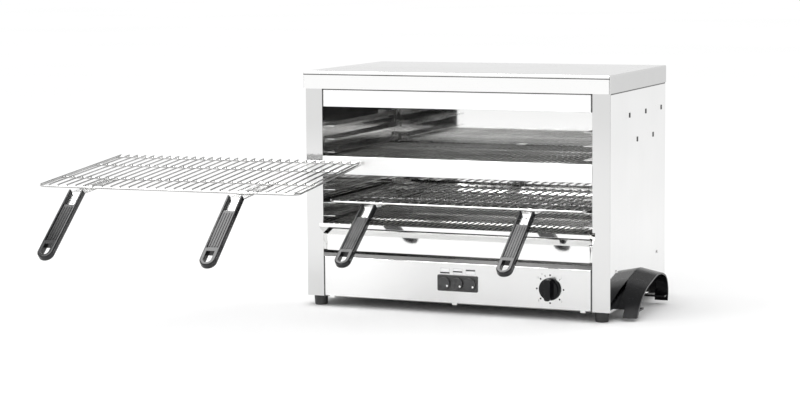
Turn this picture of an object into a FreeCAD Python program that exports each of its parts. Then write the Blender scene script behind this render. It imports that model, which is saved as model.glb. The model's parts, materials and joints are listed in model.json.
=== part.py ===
import FreeCAD, Part
import math
import os
import re

import Sketcher

# Salamander grill: a countertop warmer with two open cavities, quartz heaters and sliding grids.
# Millimetres. The origin is the centre of the footprint on the counter, +Z is up, and the open
# front looks along +Y, so it lies at negative Y.

Vector = FreeCAD.Vector
doc = FreeCAD.newDocument("SalamanderGrill")

# Every size that can be set by itself: spreadsheet alias, value, what it is.
SIZES = [
    ("body_width", 637.0, "width over the side panels"),
    ("body_depth", 390.0, "depth from the front posts to the back panel"),
    ("sheet", 1.2, "thickness of the sheet metal"),
    ("gap", 0.3, "clearance between neighbouring pieces"),
    ("foot_height", 20.0, "underside of the cabinet above the counter"),
    ("foot_top_radius", 14.0, "foot radius at the cabinet"),
    ("foot_bottom_radius", 12.8, "foot radius at the counter"),
    ("foot_inset_x", 21.5, "foot axis in from the side panel"),
    ("foot_inset_front", 18.0, "front foot axis behind the front"),
    ("foot_inset_rear", 24.0, "rear foot axis in front of the back"),
    ("foot_bore", 2.6, "screw hole radius in a foot"),
    ("foot_screw", 2.4, "foot screw shank radius"),
    ("screw_head", 4.4, "foot screw head radius"),
    ("head_height", 3.5, "foot screw head height"),
    ("head_depth", 8.0, "screw head above the counter"),
    ("post_width", 36.0, "width of a front post"),
    ("post_return", 12.0, "depth of a post's inner edge"),
    ("rear_flange", 14.0, "width of a side panel's rear flange"),
    ("base_flange", 24.0, "height of the base plate's upturned edges"),
    ("control_height", 79.5, "height of the control panel"),
    ("tray_lip", 7.7, "height of the crumb tray's front lip"),
    ("finger_gap", 4.8, "slot between tray lip and lower panel"),
    ("lower_panel", 31.7, "height of the lower panel's upright face"),
    ("bevel_rise", 18.0, "height of the bevel under the front rail"),
    ("rail_height", 7.5, "height of the front rail's lip"),
    ("lower_opening", 97.5, "height of the lower opening"),
    ("strip_height", 35.5, "height of the middle front strip"),
    ("upper_opening", 100.0, "height of the upper opening"),
    ("upper_panel", 36.0, "upper front panel that shows under the cover"),
    ("cover_lip", 35.0, "height of the cover's lip"),
    ("cover_overhang", 8.0, "cover in front of the posts"),
    ("cover_radius", 2.5, "rounding of the cover's edges"),
    ("flange", 10.0, "depth of the small folded flanges"),
    ("panel_recess", 5.0, "lower panel behind the posts"),
    ("panel_end_gap", 6.0, "lower panel short of each post"),
    ("rail_reach", 24.0, "front rail in front of the lower panel"),
    ("rail_overlap", 0.5, "front rail over each post"),
    ("wall_clearance", 0.3, "inner wall outside the post's edge"),
    ("reflector_inset", 13.0, "rear reflector in front of the back panel"),
    ("runner_reach", 22.0, "width of a runner's ledge"),
    ("runner_web", 8.5, "height of a runner's upright web"),
    ("runner_front", 12.3, "runner behind the front"),
    ("runner_rear", 49.0, "runner end in front of the back"),
    ("runner_stop", 8.0, "height of the stop at a runner's end"),
    ("runner_pitch", 26.5, "spacing of the runners"),
    ("upper_runner_drop", 39.3, "highest upper runner below the opening's top"),
    ("lower_runner_drop", 32.8, "highest lower runner below the opening's top"),
    ("guard_reach", 12.0, "width of a guard's side ledge"),
    ("guard_web", 6.0, "height of a guard ledge's upright web"),
    ("guard_bar", 4.0, "thickness of a guard's cross bars"),
    ("guard_wire", 1.25, "radius of a guard's wires"),
    ("guard_pitch", 12.0, "spacing of the guard wires"),
    ("guard_side", 5.0, "outer guard wire from the bar's end"),
    ("weld_sink", 0.3, "depth that welded wires sink into each other"),
    ("guard_front", 15.0, "first cross bar behind the front"),
    ("guard_rear", 35.0, "last cross bar in front of the back"),
    ("guard_bar_b", 130.0, "second cross bar behind the front"),
    ("guard_bar_c", 245.0, "third cross bar behind the front"),
    ("guard_overrun", 3.7, "guard wires past the outer bars"),
    ("top_guard_rise", 2.0, "top guard above the upper opening"),
    ("floor_guard_sink", 7.2, "upper floor guard below the opening's edge"),
    ("ceiling_guard_rise", 2.0, "lower ceiling guard above the opening"),
    ("bottom_guard_sink", 9.2, "bottom guard below the front rail's top"),
    ("tube_radius", 6.0, "outer radius of a quartz tube"),
    ("tube_wall", 1.2, "wall of a quartz tube"),
    ("coil_gap", 0.3, "heating coil inside the quartz tube"),
    ("tube_front", 95.0, "front tube behind the front"),
    ("tube_rear", 270.0, "rear tube behind the front"),
    ("tube_top_rise", 22.0, "top tubes above the upper opening"),
    ("tube_middle_rise", 18.0, "middle tubes above the lower opening"),
    ("tube_bottom_sink", 33.0, "bottom tubes below the front rail's top"),
    ("tube_hole", 0.5, "wall hole around a tube"),
    ("cap_radius", 9.0, "radius of a ceramic cap"),
    ("cap_length", 20.0, "length of a ceramic cap"),
    ("cap_socket", 14.0, "depth of a cap's socket"),
    ("lead_radius", 1.5, "radius of a heater lead"),
    ("lead_offset", 6.0, "lead from the cap's end face"),
    ("lead_pitch", 5.0, "spacing of neighbouring leads"),
    ("lead_bend", 4.0, "bend radius of a lead"),
    ("lead_hole", 0.6, "hole around a lead in the deck"),
    ("terminal_height", 38.0, "height of the terminal strips"),
    ("terminal_width", 11.0, "width of the terminal strips"),
    ("terminal_margin", 15.0, "terminal strip past the outer leads"),
    ("clip_width", 20.0, "width of a guard clip"),
    ("clip_height", 5.0, "height of a guard clip's tab"),
    ("clip_reach", 9.0, "reach of a guard clip"),
    ("clip_start", 72.0, "first clip in from the left wall"),
    ("clip_pitch", 222.0, "spacing of the clips"),
    ("louvre_length", 42.0, "length of a louvre hood"),
    ("louvre_height", 12.0, "height of a louvre hood"),
    ("louvre_reach", 4.2, "how far a louvre hood stands out"),
    ("louvre_wall", 1.0, "wall of a louvre hood"),
    ("louvre_pitch", 114.0, "spacing of the louvres"),
    ("louvre_first", 122.0, "open end of the first upper louvre behind the front"),
    ("louvre_shift", 54.0, "lower louvres behind the upper ones"),
    ("louvre_drop", 48.5, "upper louvres below the cover's lip"),
    ("louvre_row", 51.0, "lower louvre row below the upper row"),
    ("vent_length", 30.0, "length of a back vent"),
    ("vent_height", 4.0, "height of a back vent"),
    ("vent_pitch", 40.0, "spacing of the back vents"),
    ("vent_row", 60.0, "back vent rows from the cover's lip and the base"),
    ("vent_count", 12.0, "vents in a row"),
    ("bezel_width", 84.6, "width of the switch bezel"),
    ("bezel_height", 32.3, "height of the switch bezel"),
    ("bezel_reach", 2.5, "bezel in front of the panel"),
    ("bezel_corner", 3.0, "corner radius of the bezel"),
    ("bezel_border", 3.4, "rim of the bezel around its frame"),
    ("bezel_frame", 9.0, "depth of the bezel's frame behind the front"),
    ("bezel_x", 6.9, "centre of the bezel to the right"),
    ("bezel_drop", 39.9, "centre of the bezel below the control panel's top"),
    ("button_radius", 12.0, "radius of a button"),
    ("button_clearance", 0.3, "gap around a button"),
    ("button_pitch", 27.0, "spacing of the buttons"),
    ("button_reach", 7.0, "button in front of the panel"),
    ("button_length", 13.0, "length of a button"),
    ("button_round", 1.2, "rounding of a button's rim"),
    ("button_travel", 3.0, "travel of a button"),
    ("switch_width", 24.0, "width of a switch body"),
    ("switch_height", 26.0, "height of a switch body"),
    ("switch_depth", 32.0, "depth of a switch body"),
    ("knob_inset", 120.5, "timer axis in from the right side panel"),
    ("knob_drop", 40.8, "timer axis below the control panel's top"),
    ("knob_radius", 21.8, "radius of the knob's skirt"),
    ("knob_skirt", 4.0, "thickness of the knob's skirt"),
    ("knob_waist", 17.5, "radius of the knob's middle"),
    ("knob_reach", 21.5, "knob in front of the panel"),
    ("knob_grip", 12.0, "width of the knob's grip bar"),
    ("knob_cap", 7.5, "height of the round part under the grip"),
    ("knob_gap", 0.6, "knob off the panel"),
    ("shaft_radius", 3.0, "radius of the timer shaft"),
    ("shaft_fit", 0.05, "running fit of the shaft"),
    ("timer_width", 46.0, "width of the timer housing"),
    ("timer_depth", 38.0, "depth of the timer housing"),
    ("arch_width", 42.0, "reach of the side arch from the panel"),
    ("arch_thickness", 3.5, "thickness of the side arch"),
    ("arch_drop", 8.5, "fall of the side arch towards its outer edge"),
    ("arch_height", 85.0, "crown of the side arch above the counter"),
    ("arch_front", 19.0, "front leg's foot behind the front"),
    ("arch_length", 249.0, "length of the side arch"),
    ("arch_leg_gap", 15.0, "legs of the side arch off the panel"),
    ("arch_leg_height", 27.0, "height up to which the legs stand off the panel by their full gap"),
    ("arch_taper_height", 68.0, "height where the legs start to leave the panel"),
    ("arch_ground", 6.5, "lower ends of the side arch above the counter"),
    ("arch_tab", 34.0, "fixing tab of the arch under the base"),
    ("gland_inset", 108.5, "cable gland in from the left side panel"),
    ("gland_z", 62.0, "cable gland above the counter"),
    ("gland_radius", 11.0, "radius of the cable gland"),
    ("gland_bore", 4.0, "bore of the cable gland"),
    ("gland_reach", 12.0, "gland behind the back panel"),
    ("tray_rear_gap", 22.0, "crumb tray in front of the rear reflector"),
    ("tray_side", 6.0, "height of the crumb tray's sides"),
    ("tray_travel", 300.0, "pull-out of the crumb tray"),
    ("grid_side_gap", 13.0, "side wire of a cooking grid in from the inner wall"),
    ("grid_rear_gap", 5.8, "rear wire of a cooking grid in front of the runners' stops"),
    ("grid_wire", 2.5, "radius of a grid's frame wires"),
    ("grid_rod", 1.5, "radius of a grid's rods"),
    ("grid_pitch", 19.0, "spacing of a grid's rods"),
    ("grid_cross_a", 95.0, "second cross wire behind the front wire"),
    ("grid_cross_b", 95.0, "third cross wire in front of the rear wire"),
    ("grid_front", 4.0, "front wire behind the front"),
    ("grid_overrun", 1.6, "rods past the rear wire"),
    ("grid_corner", 12.0, "corner radius of a grid's frame"),
    ("grip_x", 165.0, "handle from the grid's middle"),
    ("bracket_width", 32.0, "width of a bracket"),
    ("bracket_sheet", 1.5, "thickness of a bracket"),
    ("bracket_reach", 39.0, "bracket in front of the front wire"),
    ("bracket_tongue", 38.0, "length of the tongue in the grip"),
    ("tongue_width", 21.0, "width of the tongue"),
    ("hook_width", 6.0, "width of a wire hook"),
    ("hook_inset", 5.0, "inner hook in from the bracket's edge"),
    ("grip_angle", 35.0, "fall of a grip in degrees"),
    ("grip_length", 174.0, "length of a grip"),
    ("grip_width", 31.0, "width of a grip"),
    ("grip_height", 13.0, "thickness of a grip"),
    ("grip_rim", 4.0, "rim along a grip"),
    ("grip_recess", 2.5, "depth between a grip's rims"),
    ("grip_seat", 34.0, "length of the tongue's seat in a grip"),
    ("grip_floor", 1.8, "grip under the tongue"),
    ("grip_ridge", 1.2, "height of a grip's ridges"),
    ("ridge_width", 2.4, "width of a grip's ridge"),
    ("ridge_pitch", 5.2, "spacing of a grip's ridges"),
    ("loop_radius", 8.0, "half width of the grip's hanging hole"),
    ("loop_length", 27.0, "length of the grip's hanging hole"),
    ("loop_end", 6.0, "grip beyond its hanging hole"),
    ("rivet_radius", 2.5, "radius of a bracket rivet's head"),
    ("rivet_height", 1.2, "height of a bracket rivet's head"),
    ("grid_travel", 300.0, "pull-out of the lower grid"),
    ("loose_aside", 131.5, "loose grid's middle to the left of the side panel"),
    ("loose_ahead", 17.0, "loose grid's rear wire in front of the posts"),
    ("loose_z", 266.0, "loose grid's front wire above the counter"),
    ("loose_pitch", 4.4, "loose grid raised at the rear in degrees"),
    ("loose_yaw", 2.6, "loose grid turned in degrees"),
    ("panel_screw", 3.2, "radius of a panel screw's head"),
    ("panel_screw_height", 1.8, "height of a panel screw's head"),
]

# Places worked out from the sizes. Each formula may use sizes and other places.
PLACES = {
    "half_body": "body_width / 2",
    "front": "-body_depth / 2",
    "back": "body_depth / 2",
    "panel_back": "front + sheet",
    "side_inner": "half_body - sheet",
    "opening_half": "half_body - post_width",
    "return_outer": "opening_half + sheet",
    "panel_half": "opening_half - gap",
    "wall_inner": "return_outer + wall_clearance",
    "wall_outer": "wall_inner + sheet",
    "behind_front": "panel_back + gap",
    "base_top": "foot_height + sheet",
    "base_half": "side_inner - gap",
    "body_bottom": "base_top + gap",
    "control_bottom": "base_top + gap",
    "control_top": "control_bottom + control_height",
    "tray_bottom": "control_top + gap",
    "tray_top": "tray_bottom + tray_lip",
    "lower_panel_bottom": "tray_top + finger_gap",
    "fold_z": "lower_panel_bottom + lower_panel",
    "rail_bottom": "fold_z + bevel_rise",
    "rail_top": "rail_bottom + rail_height",
    "strip_bottom": "rail_top + lower_opening",
    "strip_top": "strip_bottom + strip_height",
    "upper_panel_bottom": "strip_top + upper_opening",
    "lip_bottom": "upper_panel_bottom + upper_panel",
    "top": "lip_bottom + cover_lip",
    "cover_inside": "top - sheet",
    "body_top": "cover_inside - gap",
    "reflector_front": "back - reflector_inset",
    "reflector_back": "reflector_front + sheet",
    "reflector_z": "lip_bottom + sheet + gap",
    "wall_top": "reflector_z - gap",
    "wall_rear": "reflector_front - gap",
    "back_inner": "back - sheet",
    "rear_flange_back": "back_inner - gap",
    "rear_flange_front": "rear_flange_back - sheet",
    "upper_runner_top": "upper_panel_bottom - upper_runner_drop",
    "lower_runner_top": "strip_bottom - lower_runner_drop",
    "runner_wall": "wall_inner - gap",
    "runner_end": "back - runner_rear",
    "guard_half": "wall_inner - 2 * gap - 2 * sheet",
    "guard_height": "guard_bar + 2 * guard_wire - weld_sink",
    "guard_bar_first": "front + guard_front",
    "guard_bar_last": "back - guard_rear",
    "top_guard_z": "upper_panel_bottom + top_guard_rise",
    "floor_guard_z": "strip_top - floor_guard_sink",
    "ceiling_guard_z": "strip_bottom + ceiling_guard_rise",
    "bottom_guard_z": "rail_top - bottom_guard_sink",
    "tube_top_z": "upper_panel_bottom + tube_top_rise",
    "tube_middle_z": "strip_bottom + tube_middle_rise",
    "tube_bottom_z": "rail_top - tube_bottom_sink",
    "cap_inner": "wall_outer + gap",
    "cap_outer": "cap_inner + cap_length",
    "tube_end": "cap_inner + cap_socket - gap",
    "lead_x": "cap_outer + lead_offset",
    "terminal_top": "base_top + terminal_height",
    "bezel_z": "control_top - bezel_drop",
    "knob_z": "control_top - knob_drop",
    "louvre_z": "lip_bottom - louvre_drop",
    "wire_z": "lower_runner_top - runner_pitch + gap + grid_wire",
    "wire_y": "front + grid_front",
    "gland_x": "half_body - gland_inset",
    "knob_x": "half_body - knob_inset",
    "tray_rear": "reflector_front - tray_rear_gap",
    "grid_half": "wall_inner - grid_side_gap",
    "grid_depth": "runner_end - sheet - grid_rear_gap - wire_y",
    "cross_b": "grid_depth - grid_cross_b",
    "loose_x": "half_body + loose_aside",
    "loose_y": "loose_ahead + grid_depth - front",
    "grip_start": "bracket_sheet * tan(grip_angle) + gap",
}

WORD = re.compile(r"[a-z][a-z_0-9]*(?!\w*\()")
VALUES = {name: value for name, value, note in SIZES}


def formula(text):
    """Turn a formula of size and place names into an expression on the sheet."""
    def expand(match):
        word = match.group(0)
        if word in PLACES:
            return "(" + formula(PLACES[word]) + ")"
        if word in VALUES:
            return "Sizes." + word
        return word
    return WORD.sub(expand, str(text))


def number(text):
    """The value in millimetres that a formula has now."""
    return float(sizes.evalExpression(formula(text)))


sizes = doc.addObject("Spreadsheet::Sheet", "Sizes")
for row, (alias, value, note) in enumerate(SIZES, start=1):
    sizes.set(f"A{row}", note)
    sizes.set(f"B{row}", str(value))
    sizes.setAlias(f"B{row}", alias)
doc.recompute()


# Building helpers

NODES = []


def node(item, label):
    """Name a finished piece of the assembly."""
    item.Label = label
    NODES.append(item)
    return item


def place(item, x="0", y="0", z="0"):
    """Bind where a piece stands."""
    for axis, text in (("x", x), ("y", y), ("z", z)):
        item.setExpression("Placement.Base." + axis, formula(text))


def turn(item, axis, angle):
    """Bind how far a piece is turned about one axis."""
    item.Placement = FreeCAD.Placement(Vector(), FreeCAD.Rotation(axis, 10))
    item.setExpression("Placement.Rotation.Angle", formula(angle))


def box(name, x, y, z):
    """A box between two formulas on each axis."""
    item = doc.addObject("Part::Box", name)
    item.setExpression("Length", formula(f"({x[1]}) - ({x[0]})"))
    item.setExpression("Width", formula(f"({y[1]}) - ({y[0]})"))
    item.setExpression("Height", formula(f"({z[1]}) - ({z[0]})"))
    place(item, x[0], y[0], z[0])
    return item


AXIS_TURN = {
    "x": FreeCAD.Rotation(Vector(0, 1, 0), 90),
    "y": FreeCAD.Rotation(Vector(1, 0, 0), -90),
    "z": FreeCAD.Rotation(),
}


def rod(name, axis, start, length, radius):
    """A cylinder that runs from its start point along an axis."""
    item = doc.addObject("Part::Cylinder", name)
    item.Placement = FreeCAD.Placement(Vector(), AXIS_TURN[axis])
    item.setExpression("Radius", formula(radius))
    item.setExpression("Height", formula(length))
    place(item, *start)
    return item


def fuse(name, items, refine=True):
    """Join touching pieces to one solid."""
    item = doc.addObject("Part::MultiFuse", name)
    item.Shapes = items
    item.Refine = refine
    return item


def group(name, items):
    """Keep separate solids together in one piece."""
    item = doc.addObject("Part::Compound", name)
    item.Links = items
    return item


def cut(name, base, tools):
    """Take one or more shapes out of a piece."""
    item = doc.addObject("Part::Cut", name)
    item.Base = base
    item.Tool = tools[0] if len(tools) == 1 else group(name + "Tools", tools)
    return item


def side(sign, inner, outer):
    """The low and high x of something that lies between two distances from the middle."""
    if sign > 0:
        return (inner, outer)
    return (f"-({outer})", f"-({inner})")


SIDES = ((-1, "left"), (1, "right"))


def new_body(name):
    return doc.addObject("PartDesign::Body", name)


def drawing(body, name, plane, offset="0"):
    """A sketch on one of the body's planes, moved along the plane's normal."""
    sketch = body.newObject("Sketcher::SketchObject", name)
    support = [item for item in body.Origin.OriginFeatures if item.Role == plane][0]
    sketch.AttachmentSupport = [(support, "")]
    sketch.MapMode = "FlatFace"
    sketch.setExpression("AttachmentOffset.Base.z", formula(offset))
    return sketch


def pin_point(sketch, index, point, x, y):
    """Hold one point of the sketch at two formulas."""
    for kind, text in (("DistanceX", x), ("DistanceY", y)):
        constraint = Sketcher.Constraint(kind, -1, 1, index, point, number(text))
        place_at = sketch.addConstraint(constraint)
        sketch.setExpression(f"Constraints[{place_at}]", formula(text))


def outline(sketch, corners):
    """A closed outline of straight lines through points given as formulas."""
    points = [Vector(number(x), number(y), 0) for x, y in corners]
    first = sketch.GeometryCount
    count = len(points)
    for index in range(count):
        line = Part.LineSegment(points[index], points[(index + 1) % count])
        sketch.addGeometry(line, False)
    for index in range(count):
        after = first + (index + 1) % count
        sketch.addConstraint(Sketcher.Constraint("Coincident", first + index, 2, after, 1))
    for index, (x, y) in enumerate(corners):
        pin_point(sketch, first + index, 1, x, y)


def rectangle(sketch, x, y):
    outline(sketch, [(x[0], y[0]), (x[1], y[0]), (x[1], y[1]), (x[0], y[1])])


def circle(sketch, x, y, radius):
    """A circle whose centre and radius are formulas."""
    centre = Vector(number(x), number(y), 0)
    index = sketch.addGeometry(Part.Circle(centre, Vector(0, 0, 1), number(radius)), False)
    pin_point(sketch, index, 3, x, y)
    bound = sketch.addConstraint(Sketcher.Constraint("Radius", index, number(radius)))
    sketch.setExpression(f"Constraints[{bound}]", formula(radius))


def pad(body, name, sketch, length, flip=False):
    feature = body.newObject("PartDesign::Pad", name)
    feature.Profile = sketch
    feature.Reversed = flip
    feature.setExpression("Length", formula(length))
    doc.recompute()
    return feature


def pocket(body, name, sketch, length=None, flip=False):
    """A pocket to a depth, or through everything both ways where no depth is given."""
    feature = body.newObject("PartDesign::Pocket", name)
    feature.Profile = sketch
    feature.Reversed = flip
    if length is None:
        feature.Type = "ThroughAll"
        feature.Midplane = True
    else:
        feature.setExpression("Length", formula(length))
    doc.recompute()
    return feature


def repeat(body, name, feature, sketch, axis, pitch, count):
    """Repeat a feature along an axis of its sketch."""
    pattern = body.newObject("PartDesign::LinearPattern", name)
    pattern.Originals = [feature]
    pattern.Direction = (sketch, [axis])
    pattern.setExpression("Length", formula(f"({pitch}) * (({count}) - 1)"))
    pattern.setExpression("Occurrences", formula(count))
    body.Tip = pattern
    doc.recompute()
    return pattern


def round_edges(body, name, test, radius):
    """Round the edges of the body's last feature that pass a test."""
    last = body.Tip
    chosen = []
    for index, edge in enumerate(last.Shape.Edges, start=1):
        if test(edge):
            chosen.append(f"Edge{index}")
    feature = body.newObject("PartDesign::Fillet", name)
    feature.Base = (last, chosen)
    feature.setExpression("Radius", formula(radius))
    doc.recompute()
    return feature


def ends(edge):
    """The two end points of an edge, or its one point twice."""
    return edge.Vertexes[0].Point, edge.Vertexes[-1].Point


def runs_along(edge, axis):
    """Whether a straight edge runs along x, y or z."""
    start, end = ends(edge)
    run = end.sub(start)
    return run.Length > 1e-6 and abs(getattr(run, axis)) > 0.999 * run.Length


def lies_at(edge, axis, value):
    """Whether an edge lies in the plane where an axis has a value."""
    low = getattr(edge.BoundBox, axis.upper() + "Min")
    high = getattr(edge.BoundBox, axis.upper() + "Max")
    return abs(low - value) < 1e-4 and abs(high - value) < 1e-4


# Top cover

def build_cover():
    """A pressed cover that fits over the cabinet and overhangs the front."""
    half = "(half_body + gap + sheet)"
    front_y = "(front - cover_overhang)"
    rear_y = "(back + gap + sheet)"
    body = new_body("Cover")
    block = drawing(body, "CoverBlock", "XY_Plane", "lip_bottom")
    rectangle(block, (f"-{half}", half), (front_y, rear_y))
    pad(body, "CoverPad", block, "cover_lip")
    top_z = number("top")
    round_edges(body, "CoverRound", lambda edge: runs_along(edge, "z") or lies_at(edge, "z", top_z),
                "cover_radius")
    hollow = drawing(body, "CoverHollow", "XY_Plane", "lip_bottom")
    rectangle(hollow, (f"-({half} - sheet)", f"{half} - sheet"),
              (f"{front_y} + sheet", f"{rear_y} - sheet"))
    pocket(body, "CoverPocket", hollow, "cover_lip - sheet", flip=True)
    return node(body, "top_cover")


# Side panels with louvres

def louvre_hood(name, sign, y, z, outer):
    """A wedge that rises from the panel towards its open rear end."""
    hood = doc.addObject("Part::Wedge", name)
    grow = "0" if outer else "louvre_wall"
    reach = f"(louvre_reach - {grow})"
    length = f"(louvre_length * {reach} / louvre_reach)"
    width = f"(louvre_height - 2 * {grow})"
    extra = "0" if outer else "1"
    bounds = {
        "Xmin": "0", "Xmax": reach,
        "Ymin": f"-{extra}" if not outer else "0", "Ymax": length,
        "Zmin": f"-{width} / 2", "Zmax": f"{width} / 2",
        "X2min": "0", "X2max": "0",
        "Z2min": f"-{width} / 2", "Z2max": f"{width} / 2",
    }
    for key, text in bounds.items():
        hood.setExpression(key, formula(text))
    spin = FreeCAD.Rotation(Vector(1, 0, 0), 180) if sign > 0 else FreeCAD.Rotation(Vector(0, 0, 1), 180)
    hood.Placement = FreeCAD.Placement(Vector(), spin)
    place(hood, f"{sign} * half_body", y, z)
    return hood


def build_side_panels():
    """Folded side panels: outer wall, front post with its return, rear flange and louvres."""
    rows = [("Upper", "louvre_z", "front + louvre_first", 3),
            ("Lower", "louvre_z - louvre_row", "front + louvre_first + louvre_shift", 2)]
    for sign, word in SIDES:
        name = word.title() + "Panel"
        height = ("foot_height", "body_top")
        inner_height = ("body_bottom", "body_top")
        pieces = [
            box(name + "Wall", side(sign, "side_inner", "half_body"), ("front", "back"), height),
            box(name + "Post", side(sign, "opening_half", "half_body"), ("front", "panel_back"), height),
            box(name + "Return", side(sign, "opening_half", "return_outer"),
                ("panel_back", "front + post_return"), inner_height),
            box(name + "Rear", side(sign, "half_body - rear_flange", "half_body"),
                ("rear_flange_front", "rear_flange_back"), inner_height),
        ]
        tools = []
        for row, z, first, count in rows:
            for index in range(count):
                y = f"{first} + {index} * louvre_pitch"
                tag = f"{name}{row}{index}"
                pieces.append(louvre_hood(tag + "Hood", sign, y, z, True))
                tools.append(louvre_hood(tag + "Hollow", sign, y, z, False))
                slot = side(sign, "side_inner - 1", "half_body + 0.05")
                tools.append(box(tag + "Slot", slot, (f"{y} - louvre_length * 0.6", y),
                                 (f"{z} - louvre_height / 2 + louvre_wall",
                                  f"{z} + louvre_height / 2 - louvre_wall")))
        panel = cut(name, fuse(name + "Sheet", pieces), [fuse(name + "Openings", tools)])
        node(panel, "side_panel_" + word)


def build_back_panel():
    """A flat back with two rows of vents and the hole of the cable gland."""
    body = new_body("Back")
    face = drawing(body, "BackFace", "XZ_Plane", "-back_inner")
    rectangle(face, ("-base_half", "base_half"), ("body_bottom", "body_top"))
    circle(face, "-gland_x", "gland_z", "gland_radius - 3 + gap")
    pad(body, "BackPad", face, "sheet", flip=True)
    for name, low in (("High", "lip_bottom - vent_row"), ("Low", "base_top + vent_row")):
        slot = drawing(body, "Vent" + name, "XZ_Plane", "-back")
        start = "(-vent_pitch * (vent_count - 1) / 2)"
        rectangle(slot, (f"{start} - vent_length / 2", f"{start} + vent_length / 2"),
                  (low, f"{low} + vent_height"))
        hole = pocket(body, "VentPocket" + name, slot)
        repeat(body, "VentRow" + name, hole, slot, "H_Axis", "vent_pitch", "vent_count")
    return node(body, "back_panel")


# Floor, deck, inner walls and reflectors

def build_shell():
    """The base, the deck over the control compartment, and the cavity's bright lining."""
    base = [
        box("BaseSheet", ("-base_half", "base_half"), ("behind_front", "rear_flange_back"),
            ("foot_height", "base_top")),
        box("BaseRear", ("-(half_body - rear_flange - gap)", "half_body - rear_flange - gap"),
            ("rear_flange_front", "rear_flange_back"), ("foot_height", "base_top + base_flange")),
    ]
    for sign, word in SIDES:
        base.append(box("BaseEdge" + word, side(sign, "base_half - sheet", "base_half"),
                        ("front + post_return + gap", "rear_flange_front - gap"),
                        ("foot_height", "base_top + base_flange")))
    holes = []
    for x, y, word in FOOT_PLACES:
        holes.append(rod("BaseHole" + word, "z", (x, y, "foot_height - 1"), "sheet + 2",
                         "foot_screw + gap"))
    node(cut("Base", fuse("BaseFolded", base), holes), "base_plate")

    deck_top = "control_top - sheet - gap"
    deck = [box("DeckSheet", ("-base_half", "base_half"), ("front + post_return + gap", "rear_flange_front - gap"),
                (f"{deck_top} - sheet", deck_top))]
    for sign, word in SIDES:
        deck.append(box("DeckEdge" + word, side(sign, "base_half - sheet", "base_half"),
                        ("front + post_return + gap", "rear_flange_front - gap"),
                        (f"{deck_top} - flange", deck_top)))
        deck.append(box("DeckRunner" + word, side(sign, "wall_inner - 30", "wall_inner"),
                        ("front + post_return + gap", "reflector_back"), (deck_top, "control_top")))
    holes = []
    for tag, sign, y, z in LEADS:
        holes.append(rod("DeckHole" + tag, "z", (f"{sign} * lead_x", y, f"{deck_top} - flange"),
                         "flange * 2", "lead_radius + lead_hole"))
    node(cut("Deck", fuse("DeckFolded", deck), holes), "control_deck")

    for sign, word in SIDES:
        name = word.title() + "Lining"
        lining = fuse(name + "Sheet", [
            box(name + "Wall", side(sign, "wall_inner", "wall_outer"), ("behind_front", "wall_rear"),
                ("tray_bottom", "wall_top")),
            box(name + "Foot", side(sign, "wall_inner", "wall_inner + flange"),
                ("front + post_return + gap", "wall_rear"), ("tray_bottom", "tray_bottom + sheet")),
            box(name + "Head", side(sign, "wall_inner", "wall_inner + flange"),
                ("front + post_return + gap", "wall_rear"), ("wall_top - sheet", "wall_top")),
        ])
        holes = []
        for level, z in TUBE_LEVELS:
            for spot, y in TUBE_ROWS:
                start = (f"{sign} * wall_inner - 4", y, z)
                holes.append(rod(name + level + spot, "x", start, "8", "tube_radius + tube_hole"))
        node(cut(name, lining, holes), "inner_wall_" + word)

    node(fuse("RearMirror", [
        box("RearMirrorSheet", ("-(wall_inner - gap)", "wall_inner - gap"),
            ("reflector_front", "reflector_back"), ("tray_bottom", "wall_top")),
        box("RearMirrorFoot", ("-(wall_inner - gap)", "wall_inner - gap"),
            ("reflector_back", "rear_flange_front - gap"), ("tray_bottom", "tray_bottom + sheet")),
    ]), "rear_reflector")
    node(fuse("TopMirror", [
        box("TopMirrorSheet", ("-(wall_inner + flange)", "wall_inner + flange"),
            ("front + post_return + gap", "rear_flange_front - gap"), ("reflector_z", "reflector_z + sheet")),
        box("TopMirrorRear", ("-(wall_inner + flange)", "wall_inner + flange"),
            ("rear_flange_front - gap - sheet", "rear_flange_front - gap"),
            ("reflector_z", "reflector_z + flange")),
    ]), "top_reflector")


# Front panels

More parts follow.
